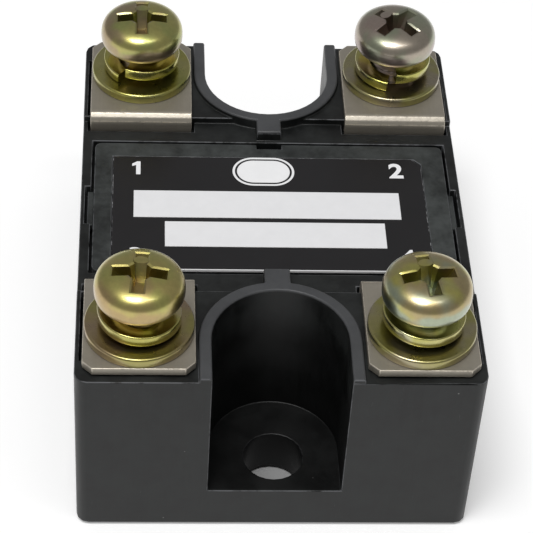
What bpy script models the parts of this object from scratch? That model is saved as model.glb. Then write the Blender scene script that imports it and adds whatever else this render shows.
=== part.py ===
"""Panel-mounting solid state relay with four screw terminals, made piece by piece.

Units are metres and +Z is up. The origin is the middle of the mounting face and the front is -Y.
Terminals are numbered 1 (back left), 2 (back right), 3 (front left) and 4 (front right):
1 and 2 switch the load, 3 and 4 carry the control input.
"""
import math

import bmesh
import bpy
from mathutils import Matrix

# Fits between pieces
CLEARANCE = 0.0003
SEAT_GAP = 0.0002
OVERCUT = 0.0010

# Moulded case
CASE_WIDTH = 0.0450
CASE_LENGTH = 0.0580
CASE_LIFT = 0.0003
CORNER_RADIUS = 0.0009
DECK_TOP = 0.0232
DECK_THICKNESS = 0.0034
PLATFORM_STEP = 0.0008
SIDE_WALL = 0.0024
SKIRT_WALL = 0.0015

# Mounting notches and their raised rims
NOTCH_WIDTH = 0.0152
NOTCH_DEPTH = 0.0137
RIM_WALL = 0.0014
RIM_STEP = 0.0014
RIM_END_INSET = 0.00005
FLANGE_TOP = 0.0060
HOLE_DIAMETER = 0.0068
HOLE_FROM_END = 0.0052
BRIDGE_WIDTH = 0.0030
BRIDGE_SETBACK = 0.0004
BRIDGE_ROOT = 0.0012

# Base plate under the case
BASE_LENGTH = 0.0384
BASE_THICKNESS = 0.0030

# Lid, its latches and the marking on it
RAIL_WIDTH = 0.0012
LID_FROM_RIM = 0.00255
LID_THICKNESS = 0.0020
LID_CORNER = 0.0008
LEDGE_WIDTH = 0.0010
LID_NOTCH_DEPTH = 0.0008
LATCH_LENGTH = 0.0058
LATCH_OUTER_WALL = 0.0005
LATCH_HEIGHT = 0.0008
LATCH_DROP = 0.0006
LABEL_BORDER_LEFT = 0.0022
LABEL_BORDER_RIGHT = 0.0028
LABEL_BORDER_BACK = 0.0025
LABEL_BORDER_FRONT = 0.0002
LABEL_THICKNESS = 0.0006
LABEL_PROUD = 0.0001
LABEL_CHAMFER = 0.0011
STRIP_THICKNESS = 0.0002
STRIP_PROUD = 0.0001
UPPER_STRIP_SIZE = (0.0314, 0.0046)
UPPER_STRIP_PLACE = (-0.0006, 0.0001)
LOWER_STRIP_SIZE = (0.0257, 0.0042)
LOWER_STRIP_PLACE = (0.0002, -0.0050)

# Terminals: a plate under the screw, a bend, a leg into the case and a soldered foot
PLATE_THICKNESS = 0.0010
PLATE_SIDE_MARGIN = 0.00085
PLATE_RIM_GAP = 0.00035
PLATE_END_MARGIN = 0.0009
PLATE_CHAMFER = 0.0011
BEND_RADIUS = 0.0004
LEG_FROM_LID = 0.0022
LEG_WIDTH = 0.0080
LEG_FROM_WALL = 0.0006
LEG_SHOULDER = 0.0004
LEG_POCKET_DEPTH = 0.0012
FOOT_BEND_RADIUS = 0.0006
FOOT_REACH = 0.0036

# Dark grooves in the case beside the plates
GROOVE_UNDER_PLATE = 0.00035
GROOVE_OUTER_WALL = 0.0005
GROOVE_FROM_STEP = 0.0003
GROOVE_FROM_END = 0.00325
GROOVE_DEPTH = 0.0020

# Terminal screws, washers and captive nuts
SCREW_DIAMETER = 0.0050
SCREW_LENGTH = 0.0120
SCREW_FROM_END = 0.0070
SCREW_TIP_CHAMFER = 0.0005
HEAD_DIAMETER = 0.0099
HEAD_HEIGHT = 0.0037
HEAD_SKIRT = 0.0013
HEAD_EDGE = 0.00025
HEAD_LIFT = 0.0051
RECESS_SPAN = 0.0060
RECESS_ARM = 0.0013
RECESS_DEPTH = 0.0021
RECESS_TAPER = 0.50
FLAT_WASHER_DIAMETER = 0.0121
FLAT_WASHER_THICKNESS = 0.0010
SPRING_WASHER_DIAMETER = 0.0092
SPRING_WASHER_SECTION = 0.0013
SPRING_WASHER_RISE = 0.0013
SPRING_SPLIT_DEG = 12.0
NUT_ACROSS_FLATS = 0.0080
NUT_HEIGHT = 0.0040
BORE_BELOW_TIP = 0.0028

# Parts inside the case
CORE_MARGIN = 0.0010
SUBSTRATE_MARGIN = 0.0009
SUBSTRATE_THICKNESS = 0.0010
PAD_INSET = 0.0006
PAD_THICKNESS = 0.0004
CHIP_SIZE = 0.0085
CHIP_THICKNESS = 0.0005
CHIP_PLACE = (0.0092, 0.0042)
STRAP_WIDTH = 0.0030
STRAP_THICKNESS = 0.0005
STRAP_ARCH = 0.0015
STRAP_FOOT = 0.0030
GATE_PIN_SIZE = 0.0008
GATE_PIN_OFFSET = 0.0030
BOARD_HEIGHT = 0.0100
BOARD_THICKNESS = 0.0016
BOARD_SIDE_GAP = 0.0006
OPTO_SIZE = (0.0088, 0.0064, 0.0035)
OPTO_PLACE = (0.0005, -0.0030)
OPTO_LEAD = (0.0010, 0.0008, 0.0018)
OPTO_LEAD_PITCH = 0.00254
CAPACITOR_SIZE = (0.0130, 0.0050, 0.0070)
CAPACITOR_PLACE = (0.0090, 0.0070)
SNUBBER_RESISTOR = (0.0034, 0.0095)
SNUBBER_RESISTOR_PLACE = (-0.0095, 0.0072)
INPUT_RESISTOR = (0.0024, 0.0066)
INPUT_RESISTOR_PLACE = (-0.0110, -0.0020)
RESISTOR_WIRE = 0.0006
RESISTOR_WIRE_END = 0.0020
RESISTOR_CAP_LENGTH = 0.0014
RESISTOR_CAP_EDGE = 0.0003
RESISTOR_NECK = 0.0002
TRANSISTOR_DIAMETER = 0.0048
TRANSISTOR_FLAT = 0.0014
TRANSISTOR_HEIGHT = 0.0048
TRANSISTOR_PLACE = (0.0110, -0.0062)
VARISTOR_DIAMETER = 0.0070
VARISTOR_THICKNESS = 0.0034
VARISTOR_EDGE = 0.0010
VARISTOR_PLACE = (0.0150, 0.0000)

# Smoothness of round shapes
ROUND_STEPS = 32
HOLE_STEPS = 24
ARC_STEPS = 24
CORNER_STEPS = 3
BEND_STEPS = 4
DOME_STEPS = 6
DOME_POWER = 2.5
SHARP_EDGE_DEG = 35.0
MERGE_DISTANCE = 0.00002

# Levels and places that follow from the sizes above
PLATFORM_TOP = DECK_TOP + PLATFORM_STEP
RIM_TOP = DECK_TOP + RIM_STEP
HALF_WIDTH = CASE_WIDTH / 2
HALF_LENGTH = CASE_LENGTH / 2
NOTCH_RADIUS = NOTCH_WIDTH / 2
TOWER_RADIUS = NOTCH_RADIUS + RIM_WALL
NOTCH_CENTRE = HALF_LENGTH - NOTCH_DEPTH + NOTCH_RADIUS
TOWER_APEX = NOTCH_CENTRE - TOWER_RADIUS
OPENING_X = HALF_WIDTH - RAIL_WIDTH
OPENING_Y = TOWER_APEX - LID_FROM_RIM
LID_X = OPENING_X - CLEARANCE
LID_Y = OPENING_Y - CLEARANCE
LID_BOTTOM = DECK_TOP - LID_THICKNESS
LEG_INNER = OPENING_Y + LEG_FROM_LID
LEG_OUTER = LEG_INNER + PLATE_THICKNESS
STEP_Y = LEG_OUTER + BEND_RADIUS
PLATE_INNER_X = TOWER_RADIUS + PLATE_RIM_GAP
PLATE_OUTER_X = HALF_WIDTH - PLATE_SIDE_MARGIN
PLATE_WIDTH = PLATE_OUTER_X - PLATE_INNER_X
PLATE_BOTTOM = PLATFORM_TOP + SEAT_GAP
PLATE_TOP = PLATE_BOTTOM + PLATE_THICKNESS
STATION_X = (PLATE_INNER_X + PLATE_OUTER_X) / 2
STATION_Y = HALF_LENGTH - SCREW_FROM_END
HOLE_RADIUS = SCREW_DIAMETER / 2 + CLEARANCE
HEAD_BOTTOM = PLATE_TOP + HEAD_LIFT
SCREW_TIP = HEAD_BOTTOM - SCREW_LENGTH
FLAT_WASHER_BOTTOM = PLATE_TOP + SEAT_GAP
SPRING_WASHER_BOTTOM = FLAT_WASHER_BOTTOM + FLAT_WASHER_THICKNESS + SEAT_GAP
NUT_TOP = PLATFORM_TOP - SEAT_GAP
NUT_BOTTOM = NUT_TOP - NUT_HEIGHT
MOUNT_HOLE_Y = HALF_LENGTH - HOLE_FROM_END
RECESS_TOP = BASE_THICKNESS + SEAT_GAP
CAVITY_X = HALF_WIDTH - SIDE_WALL
CAVITY_TOP = DECK_TOP - DECK_THICKNESS
LEG_X = CAVITY_X - LEG_FROM_WALL - LEG_WIDTH / 2
CORE_Y = TOWER_APEX - CORE_MARGIN
SUBSTRATE_X = CAVITY_X - SUBSTRATE_MARGIN
SUBSTRATE_BOTTOM = BASE_THICKNESS + SEAT_GAP
PAD_BOTTOM = SUBSTRATE_BOTTOM + SUBSTRATE_THICKNESS + SEAT_GAP
CHIP_BOTTOM = PAD_BOTTOM + PAD_THICKNESS + SEAT_GAP
CHIP_TOP = CHIP_BOTTOM + CHIP_THICKNESS
BOARD_TOP = BOARD_HEIGHT + BOARD_THICKNESS
PARTS_BOTTOM = BOARD_TOP + SEAT_GAP

# Terminal number: side in x, side in y, turn of the screw's cross, place of the spring washer's split
STATIONS = {
    1: (-1, 1, 0.0, -122.0),
    2: (1, 1, 45.0, -96.0),
    3: (-1, -1, -5.0, 70.0),
    4: (1, -1, 10.0, 110.0),
}


def finish(name, colour, roughness, metallic):
    """A plain material with the piece's own colour."""
    material = bpy.data.materials.new(name)
    material.use_nodes = True
    shader = material.node_tree.nodes["Principled BSDF"]
    shader.inputs["Base Color"].default_value = (*colour, 1.0)
    shader.inputs["Roughness"].default_value = roughness
    shader.inputs["Metallic"].default_value = metallic
    return material


def make_finishes():
    """All the materials, by a short name."""
    return {
        "case": finish("black_moulding", (0.035, 0.036, 0.040), 0.55, 0.0),
        "lid": finish("black_lid", (0.030, 0.030, 0.034), 0.50, 0.0),
        "label": finish("black_label", (0.022, 0.020, 0.026), 0.40, 0.0),
        "strip": finish("white_strip", (0.85, 0.85, 0.85), 0.55, 0.0),
        "tab": finish("nickel_tab", (0.56, 0.52, 0.46), 0.40, 1.0),
        "zinc": finish("yellow_zinc", (0.62, 0.54, 0.22), 0.30, 1.0),
        "steel": finish("plain_steel", (0.55, 0.55, 0.56), 0.35, 1.0),
        "base": finish("nickel_base", (0.62, 0.61, 0.58), 0.35, 1.0),
        "ceramic": finish("white_ceramic", (0.86, 0.85, 0.80), 0.60, 0.0),
        "copper": finish("bare_copper", (0.72, 0.38, 0.24), 0.35, 1.0),
        "chip": finish("silicon_chip", (0.20, 0.20, 0.24), 0.25, 0.6),
        "board": finish("green_board", (0.06, 0.22, 0.10), 0.50, 0.0),
        "epoxy": finish("black_epoxy", (0.02, 0.02, 0.02), 0.50, 0.0),
        "film": finish("yellow_film", (0.75, 0.55, 0.10), 0.50, 0.0),
        "resistor": finish("beige_resistor", (0.60, 0.50, 0.35), 0.50, 0.0),
        "varistor": finish("blue_varistor", (0.08, 0.20, 0.45), 0.45, 0.0),
    }


def prism(points, low, high):
    """A straight-sided solid over a plan outline, between two heights."""
    bm = bmesh.new()
    face = bm.faces.new([bm.verts.new((x, y, low)) for x, y in points])
    extruded = bmesh.ops.extrude_face_region(bm, geom=[face])["geom"]
    raised = [item for item in extruded if isinstance(item, bmesh.types.BMVert)]
    bmesh.ops.translate(bm, verts=raised, vec=(0.0, 0.0, high - low))
    bmesh.ops.recalc_face_normals(bm, faces=bm.faces)
    return bm


def rectangle(x_low, x_high, y_low, y_high):
    """Corners of a plan rectangle."""
    return [(x_low, y_low), (x_high, y_low), (x_high, y_high), (x_low, y_high)]


def box(x_low, x_high, y_low, y_high, low, high):
    """A rectangular block between six planes."""
    return prism(rectangle(x_low, x_high, y_low, y_high), low, high)


def centred_box(place, size, low, high):
    """A rectangular block centred on a plan point."""
    x, y = place
    half_x = size[0] / 2
    half_y = size[1] / 2
    return box(x - half_x, x + half_x, y - half_y, y + half_y, low, high)


def arc(centre, radius, start_deg, end_deg, steps):
    """Points along a plan arc, both ends included."""
    points = []
    for step in range(steps + 1):
        angle = math.radians(start_deg + (end_deg - start_deg) * step / steps)
        points.append((centre[0] + radius * math.cos(angle), centre[1] + radius * math.sin(angle)))
    return points


def rounded_rectangle(half_x, half_y, radius):
    """Outline of a rectangle with round corners, about the origin."""
    points = []
    for quarter, (side_x, side_y) in enumerate(((1, 1), (-1, 1), (-1, -1), (1, -1))):
        centre = (side_x * (half_x - radius), side_y * (half_y - radius))
        points += arc(centre, radius, 90.0 * quarter, 90.0 * quarter + 90.0, CORNER_STEPS)
    return points


def circle(centre, radius, steps):
    """Outline of a full circle."""
    return arc(centre, radius, 0.0, 360.0, steps)[:-1]


def hexagon(centre, across_flats):
    """Outline of a hexagon with flats facing the sides."""
    return arc(centre, across_flats / math.sqrt(3.0), 30.0, 390.0, 6)[:-1]


def u_outline(radius, side_y, end):
    """A filled U, open side at the case's end: a round apex towards the middle and straight legs."""
    outline = [(radius, end)]
    outline += arc((0.0, NOTCH_CENTRE), radius, 0.0, -180.0, ARC_STEPS)
    outline += [(-radius, end)]
    return [(x, side_y * y) for x, y in outline]


def joined(shapes):
    """Several separate solids in one mesh, for a cutter that opens many places."""
    whole = bmesh.new()
    for shape in shapes:
        mesh = bpy.data.meshes.new("joined")
        shape.to_mesh(mesh)
        shape.free()
        whole.from_mesh(mesh)
        bpy.data.meshes.remove(mesh)
    return whole


def turned(profile, steps):
    """A solid of revolution about Z from radius and height points, listed from top to bottom."""
    bm = bmesh.new()
    rings = []
    for radius, height in profile:
        if radius == 0.0:
            rings.append([bm.verts.new((0.0, 0.0, height))])
        else:
            rings.append([bm.verts.new((x, y, height)) for x, y in circle((0.0, 0.0), radius, steps)])
    for upper, lower in zip(rings, rings[1:]):
        for step in range(steps):
            after = (step + 1) % steps
            if len(upper) == 1:
                bm.faces.new((upper[0], lower[step], lower[after]))
            elif len(lower) == 1:
                bm.faces.new((upper[step], lower[0], upper[after]))
            else:
                bm.faces.new((upper[step], lower[step], lower[after], upper[after]))
    bmesh.ops.recalc_face_normals(bm, faces=bm.faces)
    return bm


def tube(outer, inner, height, steps):
    """A plain ring standing on its origin."""
    ring = turned([(outer, height), (outer, 0.0), (inner, 0.0), (inner, height), (outer, height)], steps)
    bmesh.ops.remove_doubles(ring, verts=ring.verts, dist=MERGE_DISTANCE)
    bmesh.ops.recalc_face_normals(ring, faces=ring.faces)
    return ring


def ribbon(stations, thickness):
    """A bent metal strip: each station is a point on its middle line and the strip's width there."""
    bm = bmesh.new()
    rows = []
    last = len(stations) - 1
    for index, (middle, y, z, width) in enumerate(stations):
        before = stations[max(index - 1, 0)]
        after = stations[min(index + 1, last)]
        along = math.atan2(after[2] - before[2], after[1] - before[1])
        # On a bend the chord between neighbours gives the strip's direction, so rows meet squarely
        normal_y = -math.sin(along) * thickness / 2
        normal_z = math.cos(along) * thickness / 2
        half = width / 2
        left = middle - half
        right = middle + half
        corners = ((left, 1), (right, 1), (right, -1), (left, -1))
        rows.append([bm.verts.new((x, y + s * normal_y, z + s * normal_z)) for x, s in corners])
    for row, following in zip(rows, rows[1:]):
        for corner in range(4):
            other = (corner + 1) % 4
            bm.faces.new((row[corner], row[other], following[other], following[corner]))
    bm.faces.new(rows[0])
    bm.faces.new(rows[-1])
    bmesh.ops.recalc_face_normals(bm, faces=bm.faces)
    return bm


def bend(middle, centre, radius, start_deg, end_deg, width):
    """Ribbon stations round a bend, without its two end points."""
    points = arc(centre, radius, start_deg, end_deg, BEND_STEPS)
    return [(middle, y, z, width) for y, z in points[1:-1]]


def add(name, bm, material, parent=None, place=(0.0, 0.0, 0.0), turn_deg=0.0, smooth=False):
    """Put a solid in the scene as a named piece."""
    mesh = bpy.data.meshes.new(name)
    bm.to_mesh(mesh)
    bm.free()
    mesh.materials.append(material)
    if smooth:
        mesh.shade_smooth()
        mesh.set_sharp_from_angle(angle=math.radians(SHARP_EDGE_DEG))
    piece = bpy.data.objects.new(name, mesh)
    bpy.context.collection.objects.link(piece)
    piece.parent = parent
    piece.location = place
    piece.rotation_euler = (0.0, 0.0, math.radians(turn_deg))
    return piece


def guide(name, bm, parent=None):
    """A solid that only shapes another piece."""
    mesh = bpy.data.meshes.new(name)
    bm.to_mesh(mesh)
    bm.free()
    shape = bpy.data.objects.new(name, mesh)
    bpy.context.collection.objects.link(shape)
    shape.parent = parent
    shape.hide_render = True
    shape.display_type = "WIRE"
    return shape


def shape_with(piece, operation, name, bm, parent=None):
    """Cut a solid out of a piece, or join it on."""
    modifier = piece.modifiers.new(name, "BOOLEAN")
    modifier.operation = operation
    modifier.solver = "EXACT"
    modifier.object = guide(name, bm, parent)


def at_stations(make):
    """One solid for each terminal station, from a function of the two sides."""
    return joined([make(side_x, side_y) for side_x, side_y, _, _ in STATIONS.values()])


def span(side, near, far):
    """An interval on one side of the middle, low end first."""
    return (near, far) if side > 0 else (-far, -near)


def make_case(finishes):
    """The black moulding: deck, terminal platforms, notches with rims, and every opening."""
    outline = rounded_rectangle(HALF_WIDTH, HALF_LENGTH, CORNER_RADIUS)
    case = add("case", prism(outline, CASE_LIFT, PLATFORM_TOP), finishes["case"])

    past_side = HALF_WIDTH + OVERCUT
    past_end = HALF_LENGTH + OVERCUT
    past_top = RIM_TOP + OVERCUT
    below = -OVERCUT
    deck = box(-past_side, past_side, -STEP_Y, STEP_Y, DECK_TOP, past_top)
    shape_with(case, "DIFFERENCE", "deck_cut", deck)
    cavity = box(-CAVITY_X, CAVITY_X, -STEP_Y, STEP_Y, below, CAVITY_TOP)
    shape_with(case, "DIFFERENCE", "cavity_cut", cavity)

    tower_end = HALF_LENGTH - RIM_END_INSET
    tower_foot = CASE_LIFT + RIM_END_INSET
    towers = [prism(u_outline(TOWER_RADIUS, side, tower_end), tower_foot, RIM_TOP) for side in (1, -1)]
    shape_with(case, "UNION", "notch_towers", joined(towers))
    bridges = []
    for side in (1, -1):
        y_low, y_high = span(side, OPENING_Y + BRIDGE_SETBACK, TOWER_APEX + RIM_WALL / 2)
        bridge = box(-BRIDGE_WIDTH / 2, BRIDGE_WIDTH / 2, y_low, y_high, DECK_TOP - BRIDGE_ROOT, RIM_TOP)
        bmesh.ops.translate(bridge, verts=bridge.verts, vec=(0.0, 0.0, -RIM_END_INSET))
        bridges.append(bridge)
    shape_with(case, "UNION", "bridges", joined(bridges))

    base_x = HALF_WIDTH - SKIRT_WALL
    base_y = BASE_LENGTH / 2 + CLEARANCE
    shape_with(case, "DIFFERENCE", "base_recess", box(-base_x, base_x, -base_y, base_y, below, RECESS_TOP))
    notches = [prism(u_outline(NOTCH_RADIUS, side, past_end), FLANGE_TOP, past_top) for side in (1, -1)]
    shape_with(case, "DIFFERENCE", "notch_cut", joined(notches))
    ledge_top = LID_BOTTOM - SEAT_GAP
    rebate = box(-OPENING_X, OPENING_X, -OPENING_Y, OPENING_Y, ledge_top, past_top)
    shape_with(case, "DIFFERENCE", "lid_rebate", rebate)
    mouth_x = OPENING_X - LEDGE_WIDTH
    mouth_y = OPENING_Y - LEDGE_WIDTH
    mouth = box(-mouth_x, mouth_x, -mouth_y, mouth_y, CAVITY_TOP - OVERCUT, past_top)
    shape_with(case, "DIFFERENCE", "lid_mouth", mouth)

    holes = []
    for side in (1, -1):
        hole = circle((0.0, side * MOUNT_HOLE_Y), HOLE_DIAMETER / 2, HOLE_STEPS)
        holes.append(prism(hole, below, past_top))
    shape_with(case, "DIFFERENCE", "mounting_holes", joined(holes))

    def leg_opening(x, side_y, width, low):
        half = width / 2 + CLEARANCE
        y_low, y_high = span(side_y, LEG_INNER - CLEARANCE, LEG_OUTER + CLEARANCE)
        return box(x - half, x + half, y_low, y_high, low, past_top)

    def leg_pocket(side_x, side_y):
        return leg_opening(side_x * STATION_X, side_y, PLATE_WIDTH, DECK_TOP - LEG_POCKET_DEPTH)

    def leg_slot(side_x, side_y):
        return leg_opening(side_x * LEG_X, side_y, LEG_WIDTH, CAVITY_TOP - OVERCUT)

    def nut_pocket(side_x, side_y):
        centre = (side_x * STATION_X, side_y * STATION_Y)
        return prism(hexagon(centre, NUT_ACROSS_FLATS + 2 * CLEARANCE), NUT_BOTTOM - SEAT_GAP, past_top)

    def screw_bore(side_x, side_y):
        centre = (side_x * STATION_X, side_y * STATION_Y)
        return prism(circle(centre, HOLE_RADIUS, HOLE_STEPS), SCREW_TIP - BORE_BELOW_TIP, past_top)

    def groove(side_x, side_y):
        x_low, x_high = span(side_x, PLATE_OUTER_X - GROOVE_UNDER_PLATE, HALF_WIDTH - GROOVE_OUTER_WALL)
        y_low, y_high = span(side_y, STEP_Y + GROOVE_FROM_STEP, HALF_LENGTH - GROOVE_FROM_END)
        return box(x_low, x_high, y_low, y_high, PLATFORM_TOP - GROOVE_DEPTH, past_top)

    shape_with(case, "DIFFERENCE", "leg_pockets", at_stations(leg_pocket))
    shape_with(case, "DIFFERENCE", "leg_slots", at_stations(leg_slot))
    shape_with(case, "DIFFERENCE", "nut_pockets", at_stations(nut_pocket))
    shape_with(case, "DIFFERENCE", "screw_bores", at_stations(screw_bore))
    shape_with(case, "DIFFERENCE", "side_grooves", at_stations(groove))
    latch_half = LATCH_LENGTH / 2 + CLEARANCE
    latches = []
    for side in (1, -1):
        x_low, x_high = span(side, OPENING_X - LEDGE_WIDTH / 2, HALF_WIDTH - LATCH_OUTER_WALL)
        latch_floor = DECK_TOP - LATCH_DROP - LATCH_HEIGHT - SEAT_GAP
        latches.append(box(x_low, x_high, -latch_half, latch_half, latch_floor, past_top))
    shape_with(case, "DIFFERENCE", "latch_windows", joined(latches))


def make_base_plate(finishes):
    """The metal mounting plate let into the underside."""
    half_x = HALF_WIDTH - SKIRT_WALL - CLEARANCE
    outline = rounded_rectangle(half_x, BASE_LENGTH / 2, CORNER_RADIUS)
    add("base_plate", prism(outline, 0.0, BASE_THICKNESS), finishes["base"])


def label_outline(margin):
    """Plan of the label with its chamfered corner, grown by a margin."""
    x_low = -LID_X + LABEL_BORDER_LEFT - margin
    x_high = LID_X - LABEL_BORDER_RIGHT + margin
    y_low = -LID_Y + LABEL_BORDER_FRONT - margin
    y_high = LID_Y - LABEL_BORDER_BACK + margin
    return [
        (x_low, y_low),
        (x_high, y_low),
        (x_high, y_high - LABEL_CHAMFER),
        (x_high - LABEL_CHAMFER, y_high),
        (x_low, y_high),
    ]


def make_lid(finishes):
    """The cover let into the deck, with side latches, and the label with its two blank strips."""
    outline = rounded_rectangle(LID_X, LID_Y, LID_CORNER)
    lid = add("lid", prism(outline, LID_BOTTOM, DECK_TOP), finishes["lid"])
    latch_high = DECK_TOP - LATCH_DROP
    latch_low = latch_high - LATCH_HEIGHT
    latches = []
    for side in (1, -1):
        x_low, x_high = span(side, LID_X - LEDGE_WIDTH, HALF_WIDTH - LATCH_OUTER_WALL - CLEARANCE)
        latches.append(box(x_low, x_high, -LATCH_LENGTH / 2, LATCH_LENGTH / 2, latch_low, latch_high))
    shape_with(lid, "UNION", "lid_latches", joined(latches))
    half_bridge = BRIDGE_WIDTH / 2
    above = DECK_TOP + OVERCUT
    notch = box(-half_bridge, half_bridge, LID_Y - LID_NOTCH_DEPTH, LID_Y + OVERCUT, 0.0, above)
    shape_with(lid, "DIFFERENCE", "lid_notch", notch)

    label_top = DECK_TOP + LABEL_PROUD
    label_bottom = label_top - LABEL_THICKNESS
    recess = prism(label_outline(CLEARANCE), label_bottom - SEAT_GAP, above)
    shape_with(lid, "DIFFERENCE", "label_recess", recess)
    label = add("label_panel", prism(label_outline(0.0), label_bottom, label_top), finishes["label"])

    strip_top = label_top + STRIP_PROUD
    strip_bottom = strip_top - STRIP_THICKNESS
    strips = (
        ("upper_marking_strip", UPPER_STRIP_PLACE, UPPER_STRIP_SIZE),
        ("lower_marking_strip", LOWER_STRIP_PLACE, LOWER_STRIP_SIZE),
    )
    seats = []
    for name, place, size in strips:
        add(name, centred_box(place, size, strip_bottom, strip_top), finishes["strip"])
        seat_size = (size[0] + 2 * CLEARANCE, size[1] + 2 * CLEARANCE)
        seats.append(centred_box(place, seat_size, strip_bottom - SEAT_GAP, above))
    for index, seat in enumerate(seats):
        shape_with(label, "DIFFERENCE", "strip_seat_%d" % index, seat)


def terminal_strip(foot_bottom, leg_x):
    """A bent terminal for the front side, about its screw, from its free end over the bend to its foot."""
    half = PLATE_THICKNESS / 2
    plate_z = PLATE_BOTTOM + half
    leg_y = -(LEG_INNER + half)
    free_end = -(HALF_LENGTH - PLATE_END_MARGIN)
    top_radius = BEND_RADIUS + half
    foot_radius = FOOT_BEND_RADIUS + half
    shoulder = DECK_TOP - LEG_POCKET_DEPTH + CLEARANCE
    foot_z = foot_bottom + half
    narrow_end = PLATE_WIDTH - 2 * PLATE_CHAMFER
    stations = [
        (0.0, free_end, plate_z, narrow_end),
        (0.0, free_end + PLATE_CHAMFER, plate_z, PLATE_WIDTH),
        (0.0, leg_y - top_radius, plate_z, PLATE_WIDTH),
    ]
    top_bend = (leg_y - top_radius, plate_z - top_radius)
    stations += bend(0.0, top_bend, top_radius, 90.0, 0.0, PLATE_WIDTH)
    stations += [
        (0.0, leg_y, plate_z - top_radius, PLATE_WIDTH),
        (0.0, leg_y, shoulder + LEG_SHOULDER, PLATE_WIDTH),
        (leg_x, leg_y, shoulder, LEG_WIDTH),
        (leg_x, leg_y, foot_z + foot_radius, LEG_WIDTH),
    ]
    foot_bend = (leg_y + foot_radius, foot_z + foot_radius)
    stations += bend(leg_x, foot_bend, foot_radius, 180.0, 270.0, LEG_WIDTH)
    stations += [
        (leg_x, leg_y + foot_radius, foot_z, LEG_WIDTH),
        (leg_x, leg_y + foot_radius + FOOT_REACH, foot_z, LEG_WIDTH),
    ]
    return ribbon(stations, PLATE_THICKNESS)


def make_terminals(finishes):
    """The four bent terminals: load feet stand on the copper pads, input feet on the board."""
    load_foot = PAD_BOTTOM + PAD_THICKNESS + SEAT_GAP
    input_foot = PARTS_BOTTOM
    for number, (side_x, side_y, _, _) in STATIONS.items():
        # Terminals at the back are the front ones turned round, so their left and right change over
        leg_x = -side_x * side_y * (LEG_X - STATION_X)
        strip = terminal_strip(load_foot if side_y > 0 else input_foot, leg_x)
        half_turn = 180.0 if side_y > 0 else 0.0
        terminal = add("terminal_%d" % number, strip, finishes["tab"],
                       place=(side_x * STATION_X, 0.0, 0.0), turn_deg=half_turn)
        bore = prism(circle((0.0, -STATION_Y), HOLE_RADIUS, HOLE_STEPS), PLATFORM_TOP, PLATE_TOP + OVERCUT)
        shape_with(terminal, "DIFFERENCE", "terminal_bore_%d" % number, bore, parent=terminal)


def make_screw(number, turn_deg, parent, finishes):
    """A pan-head screw with a cross recess, standing on its own axis."""
    radius = HEAD_DIAMETER / 2
    dome = []
    for step in range(DOME_STEPS + 1):
        share = math.sin(math.pi / 2 * step / DOME_STEPS)
        height = (1.0 - share ** DOME_POWER) ** (1.0 / DOME_POWER)
        dome.append((radius * share, HEAD_SKIRT + (HEAD_HEIGHT - HEAD_SKIRT) * height))
    shank = SCREW_DIAMETER / 2
    profile = dome + [
        (radius, HEAD_EDGE),
        (radius - HEAD_EDGE, 0.0),
        (shank, 0.0),
        (shank, SCREW_TIP_CHAMFER - SCREW_LENGTH),
        (shank - SCREW_TIP_CHAMFER, -SCREW_LENGTH),
        (0.0, -SCREW_LENGTH),
    ]
    screw = add("terminal_screw_%d" % number, turned(profile, ROUND_STEPS), finishes["zinc"],
                parent=parent, place=(0.0, 0.0, HEAD_BOTTOM), turn_deg=turn_deg, smooth=True)
    arm = RECESS_ARM / 2
    reach = RECESS_SPAN / 2
    corners = [(reach, -arm), (reach, arm), (arm, arm)]
    cross = []
    for _ in range(4):
        cross += corners
        corners = [(-y, x) for x, y in corners]
    recess = prism(cross, HEAD_HEIGHT - RECESS_DEPTH, HEAD_HEIGHT + OVERCUT)
    for vert in recess.verts:
        if vert.co.z < HEAD_HEIGHT:
            vert.co.x *= RECESS_TAPER
            vert.co.y *= RECESS_TAPER
    shape_with(screw, "DIFFERENCE", "cross_recess_%d" % number, recess, parent=screw)


def spring_washer(split_deg):
    """A split ring that falls from one end of its split to the other."""
    outer = SPRING_WASHER_DIAMETER / 2
    bm = bmesh.new()
    rows = []
    for step in range(ROUND_STEPS + 1):
        share = step / ROUND_STEPS
        angle = math.radians(split_deg + SPRING_SPLIT_DEG / 2 + share * (360.0 - SPRING_SPLIT_DEG))
        low = SPRING_WASHER_RISE * (1.0 - share)
        corners = (
            (outer, low + SPRING_WASHER_SECTION),
            (outer, low),
            (HOLE_RADIUS, low),
            (HOLE_RADIUS, low + SPRING_WASHER_SECTION),
        )
        rows.append([bm.verts.new((r * math.cos(angle), r * math.sin(angle), z)) for r, z in corners])
    for row, following in zip(rows, rows[1:]):
        for corner in range(4):
            other = (corner + 1) % 4
            bm.faces.new((row[corner], row[other], following[other], following[corner]))
    bm.faces.new(rows[0])
    bm.faces.new(rows[-1])
    bmesh.ops.recalc_face_normals(bm, faces=bm.faces)
    return bm


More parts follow.
